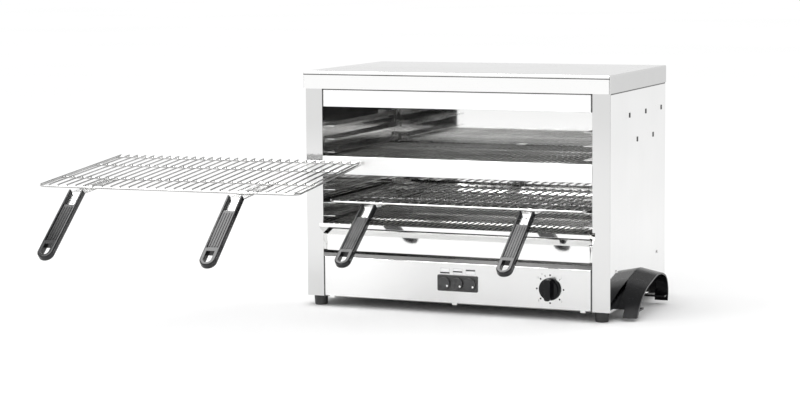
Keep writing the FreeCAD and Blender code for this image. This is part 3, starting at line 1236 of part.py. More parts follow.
def build_grid_set():
    """The shapes of one grid, its two brackets, one grip and the rivets."""
    depth = "grid_depth"
    cross = []
    for index, y in enumerate(("grid_cross_a", "cross_b")):
        cross.append(rod(f"GridCross{index}", "x", ("-grid_half", y, "0"), "2 * grid_half", "grid_wire"))
    run = "(grid_half - grid_corner)"
    straight = [
        rod("GridFront", "x", (f"-{run}", "0", "0"), f"2 * {run}", "grid_wire"),
        rod("GridRear", "x", (f"-{run}", depth, "0"), f"2 * {run}", "grid_wire"),
        rod("GridLeft", "y", ("-grid_half", "grid_corner", "0"), f"{depth} - 2 * grid_corner", "grid_wire"),
        rod("GridRight", "y", ("grid_half", "grid_corner", "0"), f"{depth} - 2 * grid_corner", "grid_wire"),
    ]
    corners = []
    for index, (x, y) in enumerate(((run, f"{depth} - grid_corner"), (f"-{run}", f"{depth} - grid_corner"),
                                    (f"-{run}", "grid_corner"), (run, "grid_corner"))):
        bend = doc.addObject("Part::Torus", f"GridCorner{index}")
        bend.setExpression("Radius1", formula("grid_corner"))
        bend.setExpression("Radius2", formula("grid_wire"))
        bend.Angle3 = 90
        bend.Placement = FreeCAD.Placement(Vector(), FreeCAD.Rotation(Vector(0, 0, 1), 90 * index))
        place(bend, x, y, "0")
        corners.append(bend)
    count = 2 * int(number("grid_half - grid_wire - grid_rod") / number("grid_pitch")) + 1
    rods = []
    for index in range(count):
        rods.append(rod(f"GridRod{index}", "y",
                        (f"{index - count // 2} * grid_pitch", "-grid_wire", "grid_wire + grid_rod - weld_sink"),
                        f"{depth} + grid_wire + grid_overrun", "grid_rod"))
    grid = fuse("Grid", straight + corners + cross + rods, refine=False)

    plates = []
    rivets = []
    top = "(-grid_wire)"
    for sign, word in SIDES:
        name = "Bracket" + word
        middle = f"({sign} * grip_x)"
        wide = (f"{middle} - bracket_width / 2", f"{middle} + bracket_width / 2")
        slim = (f"{middle} - tongue_width / 2", f"{middle} + tongue_width / 2")
        pieces = [box(name + "Plate", wide, ("-bracket_reach", "grid_cross_a"), (f"{top} - bracket_sheet", top))]
        tongue = doc.addObject("Part::Box", name + "Tongue")
        tongue.setExpression("Length", formula("tongue_width"))
        tongue.setExpression("Width", formula("bracket_tongue"))
        tongue.setExpression("Height", formula("bracket_sheet"))
        turn(tongue, Vector(1, 0, 0), "180 + grip_angle")
        place(tongue, slim[0], "-bracket_reach", top)
        pieces.append(tongue)
        for order, y in enumerate(("0", "grid_cross_a")):
            for edge, offset in (("Inner", "-(bracket_width / 2 - hook_inset - hook_width / 2)"),
                                 ("Outer", "(bracket_width / 2 - hook_width / 2)")):
                tag = f"{name}Hook{order}{edge}"
                x = f"{middle} + {sign} * {offset} - hook_width / 2"
                ring = rod(tag + "Ring", "x", (x, y, "0"), "hook_width", "grid_wire + bracket_sheet")
                hollow = rod(tag + "Hollow", "x", (f"{x} - 1", y, "0"), "hook_width + 2", "grid_wire")
                spare = box(tag + "Spare", (f"{x} - 1", f"{x} + hook_width + 1"),
                            (f"{y} - grid_wire - bracket_sheet - 1", f"{y}"),
                            ("-grid_wire - bracket_sheet - 1", "grid_wire * 0.3"))
                pieces.append(cut(tag, ring, [fuse(tag + "Away", [hollow, spare])]))
        plates.append(fuse(name, pieces))
        for step in ("grip_seat * 0.35", "grip_seat * 0.8"):
            rivet = doc.addObject("Part::Cylinder", f"Rivet{word}{len(rivets)}")
            rivet.setExpression("Radius", formula("rivet_radius"))
            rivet.setExpression("Height", formula("rivet_height"))
            turn(rivet, Vector(1, 0, 0), "grip_angle")
            place(rivet, middle, f"-bracket_reach - cos(grip_angle) * {step}",
                  f"{top} - sin(grip_angle) * {step}")
            rivets.append(rivet)
    brackets = group("Brackets", plates)
    rivet_set = group("Rivets", rivets)

    body = new_body("Grip")
    half = "(grip_width / 2)"
    block = drawing(body, "GripOutline", "XY_Plane")
    length = "(grip_length)"
    rectangle(block, (f"-{half}", half), (f"-{length}", "-grip_start"))
    pad(body, "GripPad", block, "grip_height")
    far = -number(length)
    round_edges(body, "GripEnd", lambda edge: runs_along(edge, "z") and abs(edge.BoundBox.YMin - far) < 0.01,
                f"{half} * 0.98")
    top_z = number("grip_height")
    start_y = -number("grip_start")
    round_edges(body, "GripSoft", lambda edge: (lies_at(edge, "z", 0) or lies_at(edge, "z", top_z))
                and not lies_at(edge, "y", start_y), "grip_height * 0.2")
    inner = f"({half} - grip_rim)"
    recess_end = f"({length} - loop_end - loop_length - 8)"
    recess = drawing(body, "GripRecess", "XY_Plane", "grip_height")
    rectangle(recess, (f"-{inner}", inner), (f"-{recess_end}", "1"))
    pocket(body, "GripRecessPocket", recess, "grip_recess")
    seat = drawing(body, "GripSeat", "XY_Plane", "grip_height")
    rectangle(seat, ("-(tongue_width / 2 + gap)", "tongue_width / 2 + gap"), ("-(bracket_tongue + gap)", "1"))
    pocket(body, "GripSeatPocket", seat, "grip_height - grip_floor - gap")
    ridge = drawing(body, "GripRidge", "XY_Plane", "grip_height - grip_recess")
    rectangle(ridge, ("-1.5 * ridge_pitch - ridge_width / 2", "-1.5 * ridge_pitch + ridge_width / 2"),
              (f"-{recess_end} + 4", "-(bracket_tongue + 6)"))
    ridge_pad = pad(body, "GripRidgePad", ridge, "grip_ridge")
    repeat(body, "GripRidges", ridge_pad, ridge, "H_Axis", "ridge_pitch", "4")
    loop = drawing(body, "GripLoop", "XY_Plane")
    loop_y = f"({length} - loop_end)"
    rectangle(loop, ("-loop_radius", "loop_radius"),
              (f"-{loop_y} + loop_radius", f"-{loop_y} + loop_length"))
    pocket(body, "GripLoopPocket", loop)
    round_hole = drawing(body, "GripLoopEnd", "XY_Plane")
    circle(round_hole, "0", f"-{loop_y} + loop_radius", "loop_radius")
    pocket(body, "GripLoopRound", round_hole)
    return grid, brackets, body, rivet_set


def build_grids():
    """The same set twice: in the lower runners, and standing apart at the front left."""
    grid, brackets, grip, rivets = build_grid_set()
    drop = "(grip_floor + gap + bracket_sheet)"
    seats = {}
    for sign, word in SIDES:
        seat = group("GripSeat" + word, [grip])
        turn(seat, Vector(1, 0, 0), "grip_angle")
        place(seat, f"{sign} * grip_x", f"-bracket_reach + sin(grip_angle) * {drop}",
              f"-grid_wire - cos(grip_angle) * {drop}")
        seats[word] = seat
    pieces = [(grid, ""), (brackets, "_brackets"), (rivets, "_rivets"),
              (seats["left"], "_grip_left"), (seats["right"], "_grip_right")]
    for piece, tail in pieces:
        copy = group("LowerGrid" + tail, [piece])
        place(copy, "0", "wire_y", "wire_z")
        node(copy, "lower_grid" + tail)
    for piece, tail in pieces:
        tilted = group("LooseTilt" + tail, [piece])
        turn(tilted, Vector(1, 0, 0), "loose_pitch")
        copy = group("LooseGrid" + tail, [tilted])
        turn(copy, Vector(0, 0, 1), "loose_yaw")
        place(copy, "-loose_x", "-loose_y", "loose_z")
        node(copy, "loose_grid" + tail)


build_cover()
build_side_panels()
build_back_panel()
build_shell()
build_fronts()
build_feet()
build_panel_screws()
build_runners()
build_guards()
build_heaters()
build_wiring()
build_gland()
build_switches()
build_timer()
build_arch()
build_tray()
build_grids()

doc.recompute()

# Every object must be in order before anything is written.
faults = []
for item in doc.Objects:
    if "Invalid" in item.State or "Error" in item.State:
        faults.append(f"{item.Name}: {item.State}")
for item in NODES:
    shape = item.Shape
    if shape.isNull() or not shape.isValid() or not shape.Solids:
        faults.append(f"{item.Label}: no valid solid")
if faults:
    raise RuntimeError("; ".join(faults))

os.makedirs("parts", exist_ok=True)
for item in NODES:
    item.Shape.exportStep(f"parts/{item.Label}.step")
    box_now = item.Shape.BoundBox
    print(f"{item.Label}: {len(item.Shape.Solids)} solids, "
          f"x {box_now.XMin:.1f}..{box_now.XMax:.1f}, y {box_now.YMin:.1f}..{box_now.YMax:.1f}, "
          f"z {box_now.ZMin:.1f}..{box_now.ZMax:.1f}")
print(f"{len(NODES)} pieces")
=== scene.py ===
"""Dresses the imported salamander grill: finishes, softened sheet metal, printed marks, studio and camera."""

import json
import logging
import math
from dataclasses import dataclass
from enum import Enum
from typing import ClassVar, Optional, Protocol, Union

import bmesh
import bpy
from mathutils import Matrix, Vector


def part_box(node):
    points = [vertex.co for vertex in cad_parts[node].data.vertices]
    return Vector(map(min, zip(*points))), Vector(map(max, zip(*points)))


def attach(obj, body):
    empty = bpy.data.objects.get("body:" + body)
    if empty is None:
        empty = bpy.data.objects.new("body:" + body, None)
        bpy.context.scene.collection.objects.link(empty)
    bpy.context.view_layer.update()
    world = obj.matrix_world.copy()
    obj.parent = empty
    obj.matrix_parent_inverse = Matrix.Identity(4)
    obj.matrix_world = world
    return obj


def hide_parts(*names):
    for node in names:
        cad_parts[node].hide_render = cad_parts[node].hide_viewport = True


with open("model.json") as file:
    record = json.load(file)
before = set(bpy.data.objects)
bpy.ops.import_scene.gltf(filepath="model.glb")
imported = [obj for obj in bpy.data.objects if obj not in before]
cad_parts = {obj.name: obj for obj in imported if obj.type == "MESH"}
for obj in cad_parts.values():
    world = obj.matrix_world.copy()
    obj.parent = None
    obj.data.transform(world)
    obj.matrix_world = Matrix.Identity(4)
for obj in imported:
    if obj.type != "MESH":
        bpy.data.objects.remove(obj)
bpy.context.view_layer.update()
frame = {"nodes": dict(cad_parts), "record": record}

logging.basicConfig(level=logging.INFO, format="%(message)s")
LOG = logging.getLogger("grill")

Colour = tuple[float, float, float]
Triple = tuple[float, float, float]
Operand = Union["Value", float]

# Two vertices closer than this many metres are one.
WELD = 1e-6


# Shader arithmetic

class Value:
    """A number that a shader works out, written with Python's own operators."""

    def __init__(self, nodes: "NodeTable", socket: bpy.types.NodeSocket) -> None:
        """Hold one output socket.

        Args:
            nodes: the table that adds nodes to the same tree.
            socket: the output that carries the number.
        """
        self.nodes = nodes
        self.socket = socket

    def _calculate(self, operation: str, left: Operand, right: Operand) -> "Value":
        """Add one Math node.

        Args:
            operation: the node's operation.
            left: its first input.
            right: its second input.

        Returns:
            The result.
        """
        return self.nodes.add("ShaderNodeMath", {"operation": operation}, {0: left, 1: right})

    def __add__(self, other: Operand) -> "Value":
        """Self plus other."""
        return self._calculate("ADD", self, other)

    def __radd__(self, other: Operand) -> "Value":
        """Other plus self."""
        return self._calculate("ADD", other, self)

    def __sub__(self, other: Operand) -> "Value":
        """Self minus other."""
        return self._calculate("SUBTRACT", self, other)

    def __rsub__(self, other: Operand) -> "Value":
        """Other minus self."""
        return self._calculate("SUBTRACT", other, self)

    def __mul__(self, other: Operand) -> "Value":
        """Self times other."""
        return self._calculate("MULTIPLY", self, other)

    def __rmul__(self, other: Operand) -> "Value":
        """Other times self."""
        return self._calculate("MULTIPLY", other, self)

    def fade(self, low: float, high: float, start: float = 0.0, end: float = 1.0) -> "Value":
        """Go smoothly from one number to another.

        Args:
            low: self at which the change starts.
            high: self at which it ends.
            start: the result at low and before.
            end: the result at high and beyond.

        Returns:
            The faded number.
        """
        return self.nodes.add("ShaderNodeMapRange", {"interpolation_type": "SMOOTHSTEP"},
                              {"Value": self, "From Min": low, "From Max": high,
                               "To Min": start, "To Max": end})


class NodeTable:
    """Adds nodes to one shader tree, all through one method."""

    def __init__(self, tree: bpy.types.NodeTree) -> None:
        """Start on a tree.

        Args:
            tree: the material's or world's nodes.
        """
        self.tree = tree

    def add(self, kind: str, settings: Optional[dict[str, object]] = None,
            sockets: Optional[dict[Union[int, str], object]] = None, output: Union[int, str] = 0) -> Value:
        """Add one node.

        Args:
            kind: the node's type.
            settings: its own options, set before its sockets.
            sockets: for each input by name or number, a Value to link or a constant to set.
            output: which output to hand back.

        Returns:
            That output.
        """
        node = self.tree.nodes.new(kind)
        for name, setting in (settings or {}).items():
            setattr(node, name, setting)
        for key, given in (sockets or {}).items():
            self.connect(node.inputs[key], given)
        return Value(self, node.outputs[output])

    def connect(self, socket: bpy.types.NodeSocket, given: object) -> None:
        """Link a Value to an input, or set the input to a constant.

        Args:
            socket: the input.
            given: a Value, a number, a vector or a colour.
        """
        if isinstance(given, Value):
            self.tree.links.new(given.socket, socket)
        elif isinstance(given, tuple) and len(given) == 3 and len(socket.default_value) == 4:
            socket.default_value = (*given, 1.0)
        else:
            socket.default_value = given


class Coat:
    """One procedural material around a Principled shader.

    Attributes:
        LOW: number of a Mix node's first colour input.
        HIGH: number of its second colour input.
        MIXED: number of its colour output.
    """

    LOW, HIGH, MIXED = 6, 7, 2

    def __init__(self, name: str) -> None:
        """Start a material.

        Args:
            name: its name.
        """
        self.material = bpy.data.materials.new(name)
        self.material.use_nodes = True
        self.nodes = NodeTable(self.material.node_tree)
        self.shader = self.material.node_tree.nodes["Principled BSDF"]
        self.place = self.nodes.add("ShaderNodeTexCoord", output="Object")

    def along(self, axis: str) -> Value:
        """The place along the object's own x, y or z, in metres."""
        return self.nodes.add("ShaderNodeSeparateXYZ", sockets={0: self.place}, output=axis.upper())

    def noise(self, waves: float, octaves: float, stretch: Triple = (1.0, 1.0, 1.0),
              grit: float = 0.5) -> Value:
        """Clouds or grain.

        Args:
            waves: waves per metre.
            octaves: how many finer layers there are.
            stretch: factor on each axis, small along a grain.
            grit: weight of the finer layers.

        Returns:
            A number around 0.5.
        """
        mapped = self.nodes.add("ShaderNodeMapping", {"vector_type": "POINT"},
                                {"Vector": self.place, "Scale": stretch})
        return self.nodes.add("ShaderNodeTexNoise", {"noise_dimensions": "3D"},
                              {"Vector": mapped, "Scale": waves, "Detail": octaves, "Roughness": grit})

    def mix(self, amount: Value, low: object, high: object) -> Value:
        """A colour between two.

        Args:
            amount: 0 for the low colour, 1 for the high one.
            low: a colour or a Value.
            high: a colour or a Value.

        Returns:
            The mixed colour.
        """
        return self.nodes.add("ShaderNodeMix", {"data_type": "RGBA"},
                              {"Factor": amount, self.LOW: low, self.HIGH: high}, self.MIXED)

    def dress(self, sockets: dict[str, object]) -> None:
        """Set or link the shader's own sockets.

        Args:
            sockets: for each input by name, a Value or a constant.
        """
        for name, given in sockets.items():
            self.nodes.connect(self.shader.inputs[name], given)

    def relief(self, height: Value, depth: float, strength: float) -> None:
        """Raise the surface by a height.

        Args:
            height: the height, from 0 to 1.
            depth: what a height of 1 measures, in metres.
            strength: how much of it shows.
        """
        bump = self.nodes.add("ShaderNodeBump", {"invert": False},
                              {"Height": height, "Distance": depth, "Strength": strength})
        self.nodes.connect(self.shader.inputs["Normal"], bump)


# Finishes

class Grain(Enum):
    """Which way sheet metal was brushed, as the noise's factors along x, y and z."""

    ACROSS = (0.02, 1.0, 1.0)
    DEEP = (1.0, 0.02, 1.0)
    UPRIGHT = (1.0, 1.0, 0.02)
    NONE = (1.0, 1.0, 1.0)


class Finish(Protocol):
    """Anything that can make a material."""

    def material(self) -> bpy.types.Material:
        """Build the material."""
        ...


@dataclass(frozen=True)
class Turn:
    """A painted tone that a sheet's colour turns to along one axis: painted light, shade or reflection where it
    falls differently on one part of the sheet.

    Attributes:
        axis: the axis, x, y or z.
        start: the place in metres where the change starts.
        end: the place where it ends.
        colour: the painted colour from there on.
    """

    axis: str
    start: float
    end: float
    colour: Colour


@dataclass(frozen=True)
class Steel:
    """Stainless or bright steel.

    Attributes:
        CLOUDS: waves of its faint clouds per metre.
        BRUSH: waves of its fine brush lines per metre.
        MARKS: waves of its longer marks per metre.
        LEVELS: the mixed noise where both changes start, where the colour's ends and where the gloss's ends.
        name: the material's name.
        light: the colour where it is cleanest.
        dull: the colour in its faint clouds.
        gloss: least and greatest roughness.
        grain: which way it was brushed.
        lines: depth of the brush lines in metres.
        stretch: how far the grain draws highlights out.
        turn: where given, the painted tone of light, shade or reflection that the sheet turns to along an axis.
        edge: tone of what it mirrors at a glancing angle.
    """

    CLOUDS: ClassVar[float] = 7.0
    BRUSH: ClassVar[float] = 900.0
    MARKS: ClassVar[float] = 70.0
    LEVELS: ClassVar[tuple[float, float, float]] = (0.36, 0.62, 0.66)

    name: str
    light: Colour
    dull: Colour
    gloss: tuple[float, float]
    grain: Grain = Grain.NONE
    lines: float = 0.0
    stretch: float = 0.0
    turn: Optional[Turn] = None
    edge: float = 1.0

    def material(self) -> bpy.types.Material:
        """Build the material.

        Returns:
            The steel.
        """
        coat = Coat(self.name)
        clouds = coat.noise(self.CLOUDS, octaves=4.0)
        fine = coat.noise(self.BRUSH, octaves=2.0, stretch=self.grain.value)
        marks = coat.noise(self.MARKS, octaves=5.0, stretch=self.grain.value, grit=0.7)
        low, clean, smooth = self.LEVELS
        tone = (clouds * 0.5 + fine * 0.25 + marks * 0.25).fade(low, clean)
        rough = (clouds * 0.35 + fine * 0.35 + marks * 0.3).fade(low, smooth, *self.gloss)
        colour = coat.mix(tone, self.dull, self.light)
        # Painted light: where a turn is given, the colour turns lighter or darker along one axis, as painted
        # highlight, shade or reflection.
        if self.turn:
            amount = coat.along(self.turn.axis).fade(*sorted((self.turn.start, self.turn.end)))
            if self.turn.start > self.turn.end:
                amount = 1.0 - amount
            colour = coat.mix(amount, colour, self.turn.colour)
        coat.dress({"Base Color": colour, "Roughness": rough, "Metallic": 1.0, "Anisotropic": self.stretch,
                    "Specular Tint": (self.edge, self.edge, self.edge)})
        if self.lines:
            coat.relief(fine * 0.6 + marks * 0.4, self.lines, strength=0.5)
        return coat.material


@dataclass(frozen=True)
class Plastic:
    """Moulded plastic, rubber or ceramic with a fine grain.

    Attributes:
        CLOUDS: waves of its faint clouds per metre.
        RUBBED: waves of its rubbed spots per metre.
        DENSITY: the shader's index of refraction.
        name: the material's name.
        colour: the main colour.
        worn: the colour of its faint clouds and rubbed spots.
        gloss: least and greatest roughness.
        pores: waves of the moulded grain per metre.
        depth: depth of that grain in metres.
        shine: the shader's specular level.
        lacquer: weight of a clear gloss on top.
    """

    CLOUDS: ClassVar[float] = 35.0
    RUBBED: ClassVar[float] = 140.0
    DENSITY: ClassVar[float] = 1.5

    name: str
    colour: Colour
    worn: Colour
    gloss: tuple[float, float]
    pores: float = 2600.0
    depth: float = 0.00003
    shine: float = 0.5
    lacquer: float = 0.0

    def material(self) -> bpy.types.Material:
        """Build the material.

        Returns:
            The plastic.
        """
        coat = Coat(self.name)
        clouds = coat.noise(self.CLOUDS, octaves=4.0)
        grain = coat.noise(self.pores, octaves=2.0)
        rubbed = coat.noise(self.RUBBED, octaves=5.0, grit=0.7)
        coat.dress({
            "Base Color": coat.mix((clouds * 0.6 + rubbed * 0.4).fade(0.38, 0.68), self.colour, self.worn),
            "Roughness": (clouds * 0.45 + grain * 0.3 + rubbed * 0.25).fade(0.32, 0.68, *self.gloss),
            "Specular IOR Level": self.shine, "IOR": self.DENSITY, "Coat Weight": self.lacquer,
            "Coat Roughness": 0.08,
        })
        coat.relief(grain, self.depth, strength=0.4)
        return coat.material


@dataclass(frozen=True)
class Quartz:
    """Clear to milky quartz glass.

    Attributes:
        STREAKS: waves of its drawn streaks per metre.
        DENSITY: the shader's index of refraction.
        name: the material's name.
        clear: the colour where it is clearest.
        milky: the colour in its drawn streaks.
    """

    STREAKS: ClassVar[float] = 120.0
    DENSITY: ClassVar[float] = 1.46

    name: str
    clear: Colour
    milky: Colour

    def material(self) -> bpy.types.Material:
        """Build the material.

        Returns:
            The glass.
        """
        coat = Coat(self.name)
        haze = coat.noise(self.STREAKS, octaves=4.0, stretch=Grain.ACROSS.value)
        coat.dress({"Base Color": coat.mix(haze.fade(0.3, 0.7), self.clear, self.milky),
                    "Roughness": haze.fade(0.3, 0.7, start=0.1, end=0.3), "IOR": self.DENSITY,
                    "Transmission Weight": 0.7})
        return coat.material


@dataclass(frozen=True)
class Ink:
    """Ink printed on the panel.

    Attributes:
        SPECKLES: waves of its speckles per metre.
        name: the material's name.
        colour: the fresh ink.
        faded: the ink where it is rubbed.
    """

    SPECKLES: ClassVar[float] = 1500.0

    name: str
    colour: Colour
    faded: Colour

    def material(self) -> bpy.types.Material:
        """Build the material.

        Returns:
            The ink.
        """
        coat = Coat(self.name)
        speckle = coat.noise(self.SPECKLES, octaves=3.0)
        coat.dress({"Base Color": coat.mix(speckle.fade(0.4, 0.8), self.colour, self.faded),
                    "Roughness": speckle.fade(0.3, 0.7, start=0.45, end=0.6)})
        return coat.material


PANEL = Steel("PanelSteel", (0.97, 0.97, 0.965), (0.95, 0.95, 0.945), (0.32, 0.4), Grain.ACROSS,
              lines=0.000006, stretch=0.2)
# Painted reflection: the control panel's left end is painted lighter, where it mirrors brighter surroundings.
FASCIA = Steel("FasciaSteel", (0.78, 0.78, 0.777), (0.75, 0.75, 0.747), (0.16, 0.24), Grain.ACROSS,
               lines=0.000006, stretch=0.2, turn=Turn("x", -0.02, -0.24, (0.97, 0.97, 0.967)))
# Painted light: the cover's front face is painted lighter than its top.
COVER = Steel("CoverSteel", (0.78, 0.78, 0.777), (0.75, 0.75, 0.747), (0.08, 0.14), Grain.ACROSS,
              lines=0.000004, stretch=0.2, turn=Turn("y", -0.2012, -0.2028, (0.96, 0.96, 0.955)), edge=0.72)
# Painted shade: the front posts of the side panels are painted darker than their sides.
SIDE = Steel("SideSteel", (0.82, 0.82, 0.817), (0.79, 0.79, 0.787), (0.03, 0.06), Grain.UPRIGHT,
             lines=0.000003, stretch=0.1, turn=Turn("y", -0.1925, -0.1945, (0.72, 0.72, 0.717)))
POLISHED = Steel("PolishedSteel", (0.92, 0.92, 0.915), (0.88, 0.88, 0.875), (0.04, 0.08), Grain.ACROSS,
                 lines=0.000003)
LINING = Steel("LiningSteel", (0.66, 0.655, 0.65), (0.56, 0.555, 0.55), (0.05, 0.1), Grain.DEEP,
               lines=0.000005)
PLAIN = Steel("PlainSteel", (0.70, 0.70, 0.695), (0.62, 0.62, 0.615), (0.26, 0.38), Grain.ACROSS,
              lines=0.00001)
BASE = Steel("BaseSteel", (0.24, 0.24, 0.238), (0.15, 0.15, 0.148), (0.4, 0.55), Grain.ACROSS,
             lines=0.00002)
TRAY = Steel("TraySteel", (0.34, 0.34, 0.335), (0.13, 0.13, 0.128), (0.16, 0.3), Grain.ACROSS,
             lines=0.00002)
BRIGHT = Steel("BrightSteel", (0.94, 0.94, 0.93), (0.80, 0.80, 0.79), (0.12, 0.22), Grain.DEEP,
               lines=0.00002)
WIRE = Steel("ChromedWire", (0.56, 0.56, 0.555), (0.40, 0.40, 0.397), (0.12, 0.24), lines=0.00003)
BRACKET = Steel("BracketSteel", (0.66, 0.66, 0.655), (0.52, 0.52, 0.515), (0.2, 0.32), Grain.ACROSS,
                lines=0.00001)
GUARD = Steel("GuardWire", (0.72, 0.72, 0.71), (0.50, 0.50, 0.49), (0.14, 0.28), lines=0.00003)
COIL = Steel("HeatingWire", (0.34, 0.30, 0.27), (0.20, 0.17, 0.15), (0.45, 0.6), lines=0.0001)
# Painted shade: a dark steel for strips laid where gaps, the cover's lip and the louvres' openings fall into
# shade.
SHADE_STRIP = Steel("PaintedShadeSteel", (0.13, 0.13, 0.13), (0.07, 0.07, 0.07), (0.3, 0.45), Grain.ACROSS, lines=0.00001)
CERAMIC = Plastic("Ceramic", (0.86, 0.84, 0.78), (0.74, 0.71, 0.64), (0.35, 0.5), pores=900.0)
GRIP = Plastic("GripPlastic", (0.004, 0.004, 0.005), (0.010, 0.010, 0.011), (0.12, 0.22),
               pores=2400.0, depth=0.00001, shine=0.4)
KNOB = Plastic("KnobPlastic", (0.003, 0.003, 0.004), (0.007, 0.007, 0.008), (0.1, 0.2),
               pores=2400.0, depth=0.00001, shine=0.22)
BUTTON = Plastic("ButtonPlastic", (0.046, 0.046, 0.047), (0.060, 0.060, 0.061), (0.24, 0.34),
                 pores=2400.0, depth=0.00001, shine=0.4)
BEZEL = Plastic("BezelPlastic", (0.050, 0.050, 0.050), (0.066, 0.066, 0.066), (0.32, 0.42),
                pores=2400.0, depth=0.00002, shine=0.4)
ARCH = Plastic("ArchPlastic", (0.004, 0.004, 0.005), (0.008, 0.008, 0.009), (0.2, 0.28),
               pores=1500.0, depth=0.000005, shine=0.3)
FOOT = Plastic("FootRubber", (0.020, 0.020, 0.020), (0.040, 0.040, 0.040), (0.45, 0.6),
               pores=1200.0, depth=0.00005)
SLEEVE = Plastic("WireSleeve", (0.70, 0.68, 0.62), (0.56, 0.54, 0.48), (0.7, 0.85), pores=700.0, depth=0.0002)
LENS = Plastic("LampLens", (0.84, 0.84, 0.82), (0.93, 0.93, 0.92), (0.1, 0.2),
               pores=900.0, depth=0.00001, lacquer=0.4)
QUARTZ = Quartz("Quartz", (0.99, 0.99, 0.98), (0.93, 0.93, 0.91))
DARK_INK = Ink("DarkInk", (0.012, 0.012, 0.012), (0.04, 0.04, 0.04))
GREY_INK = Ink("GreyInk", (0.40, 0.40, 0.40), (0.50, 0.50, 0.50))
WHITE_INK = Ink("WhiteInk", (0.88, 0.88, 0.88), (0.96, 0.96, 0.96))

NODE_FINISHES: dict[Finish, tuple[str, ...]] = {
    PANEL: ("upper_front_panel", "middle_front_strip"),
    FASCIA: ("control_panel",),
    COVER: ("top_cover",),
    SIDE: ("side_panel_left", "side_panel_right"),
    POLISHED: ("lower_front_panel", "rear_reflector"),
    LINING: ("inner_wall_left", "inner_wall_right", "top_reflector"),
    PLAIN: ("back_panel", "control_deck"),
    BASE: ("base_plate",),
    TRAY: ("crumb_tray",),
    BRIGHT: ("runners_left", "runners_right", "guard_rails_left", "guard_rails_right", "guard_clips",
             "foot_screws", "panel_screws", "arch_screws", "timer_shaft"),
    WIRE: ("lower_grid", "loose_grid"),
    BRACKET: ("lower_grid_brackets", "loose_grid_brackets", "lower_grid_rivets", "loose_grid_rivets"),
    GUARD: ("top_guard", "upper_floor_guard", "lower_ceiling_guard", "bottom_guard"),
    COIL: ("heating_coils",),
    CERAMIC: ("tube_caps_left", "tube_caps_right", "terminal_block"),
    GRIP: ("lower_grid_grip_left", "lower_grid_grip_right", "loose_grid_grip_left", "loose_grid_grip_right"),
    KNOB: ("timer_knob",),
    BUTTON: ("button_bottom", "button_middle", "button_top"),
    BEZEL: ("switch_bezel", "timer_housing", "switch_bodies", "cable_gland"),
    ARCH: ("side_arch",),
    FOOT: ("foot_front_left", "foot_front_right", "foot_rear_left", "foot_rear_right"),
    SLEEVE: ("wiring",),
    QUARTZ: ("quartz_tubes_top", "quartz_tubes_middle", "quartz_tubes_bottom"),
}


# Pieces

class Workshop:
    """Makes pieces, and keeps the one material that each finish has.

    Attributes:
        SMOOTH: the greatest angle between two faces, in degrees, that is shaded smooth.
    """

    SMOOTH = 35.0

    def __init__(self) -> None:
        """Start with no materials made."""
        self.materials: dict[Finish, bpy.types.Material] = {}
        self.finish_of = {node: finish for finish, nodes in NODE_FINISHES.items() for node in nodes}
        missing = set(frame["nodes"]) ^ set(self.finish_of)
        if missing:
            raise ValueError(f"finishes and nodes differ: {sorted(missing)}")

    def material(self, finish: Finish) -> bpy.types.Material:
        """The material of a finish, made once."""
        if finish not in self.materials:
            self.materials[finish] = finish.material()
        return self.materials[finish]

    def dress_nodes(self) -> None:
        """Give every CAD node its finish."""
        for node, finish in self.finish_of.items():
            slots = frame["nodes"][node].data.materials
            slots.clear()
            slots.append(self.material(finish))

    def body_of(self, node: str) -> str:
        """The name of the body that holds a CAD node."""
        bodies = frame["record"]["behaviour"]["bodies"]
        return next(body for body, nodes in bodies.items() if node in nodes)

    def slot_of(self, node: str) -> str:
        """The name of a CAD node's material slot."""
        return next(part["material_slot"] for part in frame["record"]["subparts"] if part["node"] == node)

    def piece(self, name: str, mesh: bmesh.types.BMesh, finish: Finish, like: str) -> bpy.types.Object:
        """Turn a mesh into a finished piece.

        Args:
            name: the piece's name.
            mesh: its geometry, which is freed.
            finish: its finish.
            like: the CAD node whose body it rides on; its material slot is looked up but not given to the
                piece.

        Returns:
            The new piece.
        """
        for face in mesh.faces:
            face.smooth = True
        data = bpy.data.meshes.new(name)
        mesh.to_mesh(data)
        mesh.free()
        data.set_sharp_from_angle(angle=math.radians(self.SMOOTH))
        data.materials.append(self.material(finish))
        piece = bpy.data.objects.new(name, data)
        bpy.context.scene.collection.objects.link(piece)
        piece.modifiers.new("even_shading", "WEIGHTED_NORMAL").keep_sharp = True
        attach(piece, self.body_of(like))
        self.slot_of(like)
        LOG.info("%s: %d faces", name, len(data.polygons))
        return piece

    def stage_piece(self, name: str, mesh: bmesh.types.BMesh,
                    material: bpy.types.Material) -> bpy.types.Object:
        """Turn a mesh into something of the studio.

        Args:
            name: its name.
            mesh: its geometry, which is freed.
            material: its material.

        Returns:
            The object.
        """
        data = bpy.data.meshes.new(name)
        mesh.to_mesh(data)
        mesh.free()
        data.materials.append(material)
        card = bpy.data.objects.new(name, data)
        bpy.context.scene.collection.objects.link(card)
        return card


